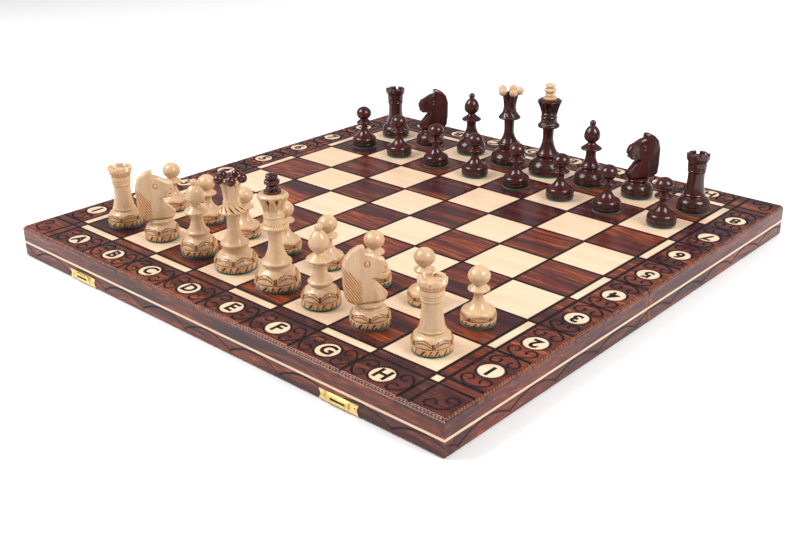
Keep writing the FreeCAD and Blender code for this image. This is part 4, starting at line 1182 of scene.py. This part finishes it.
class ChessBoard(bpy.types.PropertyGroup):
    """Sizes of the board's ornament."""

    def length(name, default, text):
        return bpy.props.FloatProperty(name=name, description=text, default=default,
                                       subtype="DISTANCE", unit="LENGTH", precision=5)

    line_width: length("Line width", 2.2 * MM, "Width of the burned lines")
    line_depth: length("Line depth", 0.4 * MM, "Depth of the burned lines")
    wheel: length("Wheel pitch", 2.1 * MM, "Distance between the wheel's prints on a line")
    chamfer: length("Edge moulding", 2.2 * MM, "How far the moulded edge reaches inwards")
    rope_radius: length("Rope radius", 1.3 * MM, "Radius of the moulded edge")
    rope_pitch: length("Rope pitch", 2.9 * MM, "Distance between the cuts of the rope")
    bead_pitch: length("Bead pitch", 1.6 * MM, "Distance between pressed beads")
    bead_width: length("Bead width", 2.5 * MM, "Width of a pressed bead across its line")
    bead_height: length("Bead height", 0.4 * MM, "How far a pressed bead stands proud")
    volute: length("Volute radius", 4.7 * MM, "Outer radius of a scroll's spiral")
    scroll_depth: length("Scroll depth", 10.2 * MM, "From a scroll's back to its spirals")
    scroll_reach: length("Scroll reach", 6.6 * MM, "From a scroll's middle to a spiral")
    medallion_ring: length("Medallion ring", 9.8 * MM, "Radius of the ring of beads")
    letter_size: length("Letter size", 16 * MM, "Height of the text's line")
    letter_weight: length("Letter weight", 0.4 * MM, "How much the letters are thickened")
    garland_pitch: length("Garland pitch", 52.5 * MM, "Length of one swag on the sides")
    garland_low: length("Garland low", 2.4 * MM, "Height of the swags' ends above the rim")
    garland_height: length("Garland height", 0.14 * MM, "How far its beads stand proud")
    garland_gap: length("Garland gap", 1.0 * MM, "From the swags' tops to the stringing")
    garland_shift: length("Garland shift", 39 * MM, "Where the first swag starts on the ends")
    garland_shift_side: length("Garland side shift", -69 * MM,
                               "Where the first swag starts on the sides")


class ChessMen(bpy.types.PropertyGroup):
    """How the men stand."""

    white_knight_turn: bpy.props.FloatProperty(
        name="Light knights look", description="Direction the light knights face, in degrees",
        default=57.0)
    black_knight_turn: bpy.props.FloatProperty(
        name="Dark knights look", description="Direction the dark knights face, in degrees",
        default=238.0)


class ChessStage(bpy.types.PropertyGroup):
    """The camera and the studio."""

    lens: bpy.props.FloatProperty(name="Lens", description="Focal length", default=47.01,
                                  unit="CAMERA")
    roll: bpy.props.FloatProperty(name="Roll", description="Turn of the camera about its view",
                                  default=-0.009, subtype="ANGLE")
    camera_place: bpy.props.FloatVectorProperty(
        name="Camera", description="Where the camera stands",
        default=(0.5767, -0.65045, 0.36215), subtype="XYZ")
    camera_aim: bpy.props.FloatVectorProperty(
        name="Aim", description="What the camera looks at",
        default=(0.06875, -0.08935, 0.02815), subtype="XYZ")
    sky: bpy.props.FloatProperty(name="Sky", description="Brightness of the white room",
                                 default=0.3)


# ---- operators


class CHESS_OT_board_woods(bpy.types.Operator):
    """Finish the panels, rails, veneers, stringing and lining"""
    bl_idname = "chess.board_woods"
    bl_label = "Board woods"

    def execute(self, context):
        for half in HALVES:
            dress(half + "_panel", "mahogany_top")
            dress(half + "_light_inlays", "light_veneer")
            dress(half + "_end_rail", "mahogany_rail")
            dress(half + "_hinge_rail", "mahogany_rail")
            dress(half + "_side_rails", "mahogany_side")
            dress(half + "_inlay_lines", "stringing")
            dress(half + "_lining", "green_felt")
        return {"FINISHED"}


class CHESS_OT_brasswork(bpy.types.Operator):
    """Finish the hinges, latches, screws and nails"""
    bl_idname = "chess.brasswork"
    bl_label = "Brasswork"

    def execute(self, context):
        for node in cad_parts:
            if node.startswith(("hinge_", "latch_", "brass_")):
                dress(node, "brass")
        return {"FINISHED"}


class CHESS_OT_burned_lines(bpy.types.Operator):
    """Burn the lines of the squares, the ring and the border"""
    bl_idname = "chess.burned_lines"
    bl_label = "Burned lines"

    def execute(self, context):
        look = context.scene.chess_board
        for half, side in HALVES.items():
            parts = [burned_strip(*line, look) for line in half_lines(side, look)]
            parts.append(seam_strip(side, look))
            points, faces, _ = joined(parts)
            piece = new_piece(half + "_burned_lines", points, faces, finish("burned_wood"))
            place(piece, half + "_half", "burned_wood")
        return {"FINISHED"}


class CHESS_OT_scrolls(bpy.types.Operator):
    """Press the scrolls of the border and the beads round the medallions"""
    bl_idname = "chess.scrolls"
    bl_label = "Scrolls and rings"

    def execute(self, context):
        look = context.scene.chess_board
        for half, side in HALVES.items():
            for name, maker in (("scrolls", scrolls), ("medallion_rings", medallion_rings)):
                points, faces, _ = joined(maker(side, look))
                piece = new_piece("%s_%s" % (half, name), points, faces,
                                  finish("burned_wood"))
                place(piece, half + "_half", "burned_wood")
        return {"FINISHED"}


class CHESS_OT_letters(bpy.types.Operator):
    """Burn the letters and numbers into the medallions"""
    bl_idname = "chess.letters"
    bl_label = "Letters"

    def execute(self, context):
        look = context.scene.chess_board
        for half, side in HALVES.items():
            meshes = letters(side, look)
            parts = []
            for mesh in meshes:
                points = np.array([v.co for v in mesh.vertices])
                faces = {}
                for polygon in mesh.polygons:
                    faces.setdefault(len(polygon.vertices), []).append(tuple(polygon.vertices))
                parts.append((points, [np.array(f) for f in faces.values()],
                              np.zeros(len(points))))
                bpy.data.meshes.remove(mesh)
            points, faces, _ = joined(parts)
            piece = new_piece(half + "_letters", points, faces, finish("burned_wood"), False)
            place(piece, half + "_half", "burned_wood")
        return {"FINISHED"}


class CHESS_OT_rope_edge(bpy.types.Operator):
    """Mould the rope along the outer edges"""
    bl_idname = "chess.rope_edge"
    bl_label = "Rope edge"

    def execute(self, context):
        look = context.scene.chess_board
        for half, side in HALVES.items():
            points, faces, burn = joined(rope_edges(side, look))
            piece = new_piece(half + "_rope_edge", points, faces, finish("rope_edge"),
                              burn=burn)
            place(piece, half + "_half", "mahogany_top")
        return {"FINISHED"}


class CHESS_OT_garlands(bpy.types.Operator):
    """Press the garland into the outer faces of the rails"""
    bl_idname = "chess.garlands"
    bl_label = "Garlands"

    def execute(self, context):
        look = context.scene.chess_board
        for half, side in HALVES.items():
            points, faces, _ = joined([garland(face, side, look)
                                       for face in ("end", "left", "right")])
            piece = new_piece(half + "_garland", points, faces, finish("burned_wood"))
            place(piece, half + "_half", "burned_wood")
        return {"FINISHED"}


class CHESS_OT_pawns(bpy.types.Operator):
    """Turn the sixteen pawns"""
    bl_idname = "chess.pawns"
    bl_label = "Pawns"

    def execute(self, context):
        make_men("pawn")
        return {"FINISHED"}


class CHESS_OT_rooks(bpy.types.Operator):
    """Turn the rooks and cut their battlements"""
    bl_idname = "chess.rooks"
    bl_label = "Rooks"

    def execute(self, context):
        make_men("rook")
        return {"FINISHED"}


class CHESS_OT_knights(bpy.types.Operator):
    """Turn the knights' feet and carve their heads"""
    bl_idname = "chess.knights"
    bl_label = "Knights"

    def execute(self, context):
        make_men("knight")
        return {"FINISHED"}


class CHESS_OT_bishops(bpy.types.Operator):
    """Turn the bishops"""
    bl_idname = "chess.bishops"
    bl_label = "Bishops"

    def execute(self, context):
        make_men("bishop")
        return {"FINISHED"}


class CHESS_OT_queens(bpy.types.Operator):
    """Turn the queens and set the balls on their coronets"""
    bl_idname = "chess.queens"
    bl_label = "Queens"

    def execute(self, context):
        make_men("queen")
        for node in men_nodes("queen"):
            balls = node + "_balls"
            centre, _ = foot_axis(node)
            low, high = node_box(balls)
            radius = (high[2] - low[2]) / 2
            parts = []
            for i in range(PETALS):
                angle = 2 * math.pi * (i + 0.5) / PETALS
                spot = np.array([centre[0] + BALL_CIRCLE * math.cos(angle),
                                 centre[1] + BALL_CIRCLE * math.sin(angle), high[2] - radius])
                parts.append(ball_grid(spot, radius))
            points, faces, burn = joined(parts)
            piece = new_piece(balls + "_turned", points, faces,
                              finish(wood_of(node, True)), burn=burn)
            place(piece, node, wood_of(node, True), balls)
        return {"FINISHED"}


class CHESS_OT_kings(bpy.types.Operator):
    """Turn the kings and their finials"""
    bl_idname = "chess.kings"
    bl_label = "Kings"

    def execute(self, context):
        make_men("king")
        for node in men_nodes("king"):
            finial = node + "_finial"
            centre, foot_z = foot_axis(node)
            line = traced(finial_corners(), 0.3)
            angle = 2 * np.pi * np.arange(72) / 72
            body = line[1:-1, None]
            above_plate = np.clip((body[..., 1] - 77 * MM) / (2 * MM), 0, 1)
            r = body[..., 0] * (1 - 0.09 * (0.5 + 0.5 * np.cos(8 * angle)) * above_plate)
            grid = np.stack([r * np.cos(angle), r * np.sin(angle),
                             body[..., 1] + 0 * angle], -1)
            points, faces = closed_tube(grid)
            points[-2:] = [(0, 0, line[0, 1]), (0, 0, line[-1, 1])]
            piece = new_piece(finial + "_turned", points + (*centre, foot_z), faces,
                              finish(wood_of(node, True)), burn=np.zeros(len(points)))
            place(piece, node, wood_of(node, True), finial)
        return {"FINISHED"}


def soft_light(name, place, aim, width, height, power, mirrored=True):
    """A rectangular area light that faces the point it is aimed at. One that isn't mirrored
    leaves no image of itself in the lacquer."""
    light = bpy.data.lights.new(name, "AREA")
    light.shape = "RECTANGLE"
    light.size, light.size_y = width, height
    light.energy = power
    holder = bpy.data.objects.new(name, light)
    holder.location = place
    holder.visible_glossy = mirrored
    holder.rotation_euler = (Vector(aim) - Vector(place)).to_track_quat("-Z", "Y").to_euler()
    bpy.context.scene.collection.objects.link(holder)


class CHESS_OT_stage(bpy.types.Operator):
    """Lay the pale floor, light it and set the camera"""
    bl_idname = "chess.stage"
    bl_label = "Stage"

    def execute(self, context):
        look = context.scene.chess_stage
        size = 6.0
        corners = np.array([(-size, -size, 0), (size, -size, 0), (size, size, 0),
                            (-size, size, 0)])
        paper, w, shader = material("Floor paper", Roughness=0.9)
        tooth = w.noise(object_space(w), 60.0, 4.0)
        w.feed(shader.inputs["Base Color"], w.mix(w.range(tooth, 0.2, 0.8),
                                                  (0.93, 0.93, 0.93, 1), (0.96, 0.96, 0.96, 1)))
        new_piece("floor", corners, [np.array([[0, 1, 2, 3]])], paper, False)
        world = bpy.data.worlds.new("Studio")
        context.scene.world = world
        world.use_nodes = True
        sky = world.node_tree.nodes["Background"]
        sky.inputs["Color"].default_value = (1, 1, 1, 1)
        sky.inputs["Strength"].default_value = look.sky
        aim = (0, 0, 0.03)
        soft_light("key", (-0.9, -0.9, 1.3), aim, 0.9, 0.9, 30)
        soft_light("fill", (1.3, 0.1, 1.2), aim, 0.8, 0.8, 21)
        soft_light("window", (0.2, 1.9, 0.9), aim, 2.2, 0.9, 30, False)
        camera = bpy.data.cameras.new("camera")
        camera.lens = look.lens
        camera.sensor_width = 36
        holder = bpy.data.objects.new("camera", camera)
        stand, target = Vector(look.camera_place), Vector(look.camera_aim)
        view = (target - stand).to_track_quat("-Z", "Y").to_matrix()
        holder.matrix_world = (Matrix.Translation(stand)
                               @ (view @ Matrix.Rotation(look.roll, 3, "Z")).to_4x4())
        context.scene.collection.objects.link(holder)
        context.scene.camera = holder
        context.scene.view_settings.view_transform = "Standard"
        return {"FINISHED"}


STEPS = (CHESS_OT_board_woods, CHESS_OT_brasswork, CHESS_OT_burned_lines, CHESS_OT_scrolls,
         CHESS_OT_letters, CHESS_OT_rope_edge, CHESS_OT_garlands, CHESS_OT_pawns,
         CHESS_OT_rooks, CHESS_OT_knights, CHESS_OT_bishops, CHESS_OT_queens, CHESS_OT_kings,
         CHESS_OT_stage)
SETTINGS = {"chess_woods": ChessWoods, "chess_board": ChessBoard, "chess_men": ChessMen,
            "chess_stage": ChessStage}


class CHESS_PT_panel(bpy.types.Panel):
    """The chess set's settings and steps"""
    bl_idname = "CHESS_PT_panel"
    bl_label = "Chess set"
    bl_space_type = "VIEW_3D"
    bl_region_type = "UI"
    bl_category = "Chess set"

    def draw(self, context):
        for key, group in SETTINGS.items():
            box = self.layout.box()
            settings = getattr(context.scene, key)
            for name in group.__annotations__:
                box.prop(settings, name)
        for step in STEPS:
            self.layout.operator(step.bl_idname)


def register():
    for item in (*SETTINGS.values(), *STEPS, CHESS_PT_panel):
        bpy.utils.register_class(item)
    for key, group in SETTINGS.items():
        setattr(bpy.types.Scene, key, bpy.props.PointerProperty(type=group))


def unregister():
    for key in SETTINGS:
        delattr(bpy.types.Scene, key)
    for item in reversed((*SETTINGS.values(), *STEPS, CHESS_PT_panel)):
        bpy.utils.unregister_class(item)


def main():
    register()
    for step in STEPS:
        area, action = step.bl_idname.split(".")
        getattr(getattr(bpy.ops, area), action)()


if __name__ == "__main__":
    main()
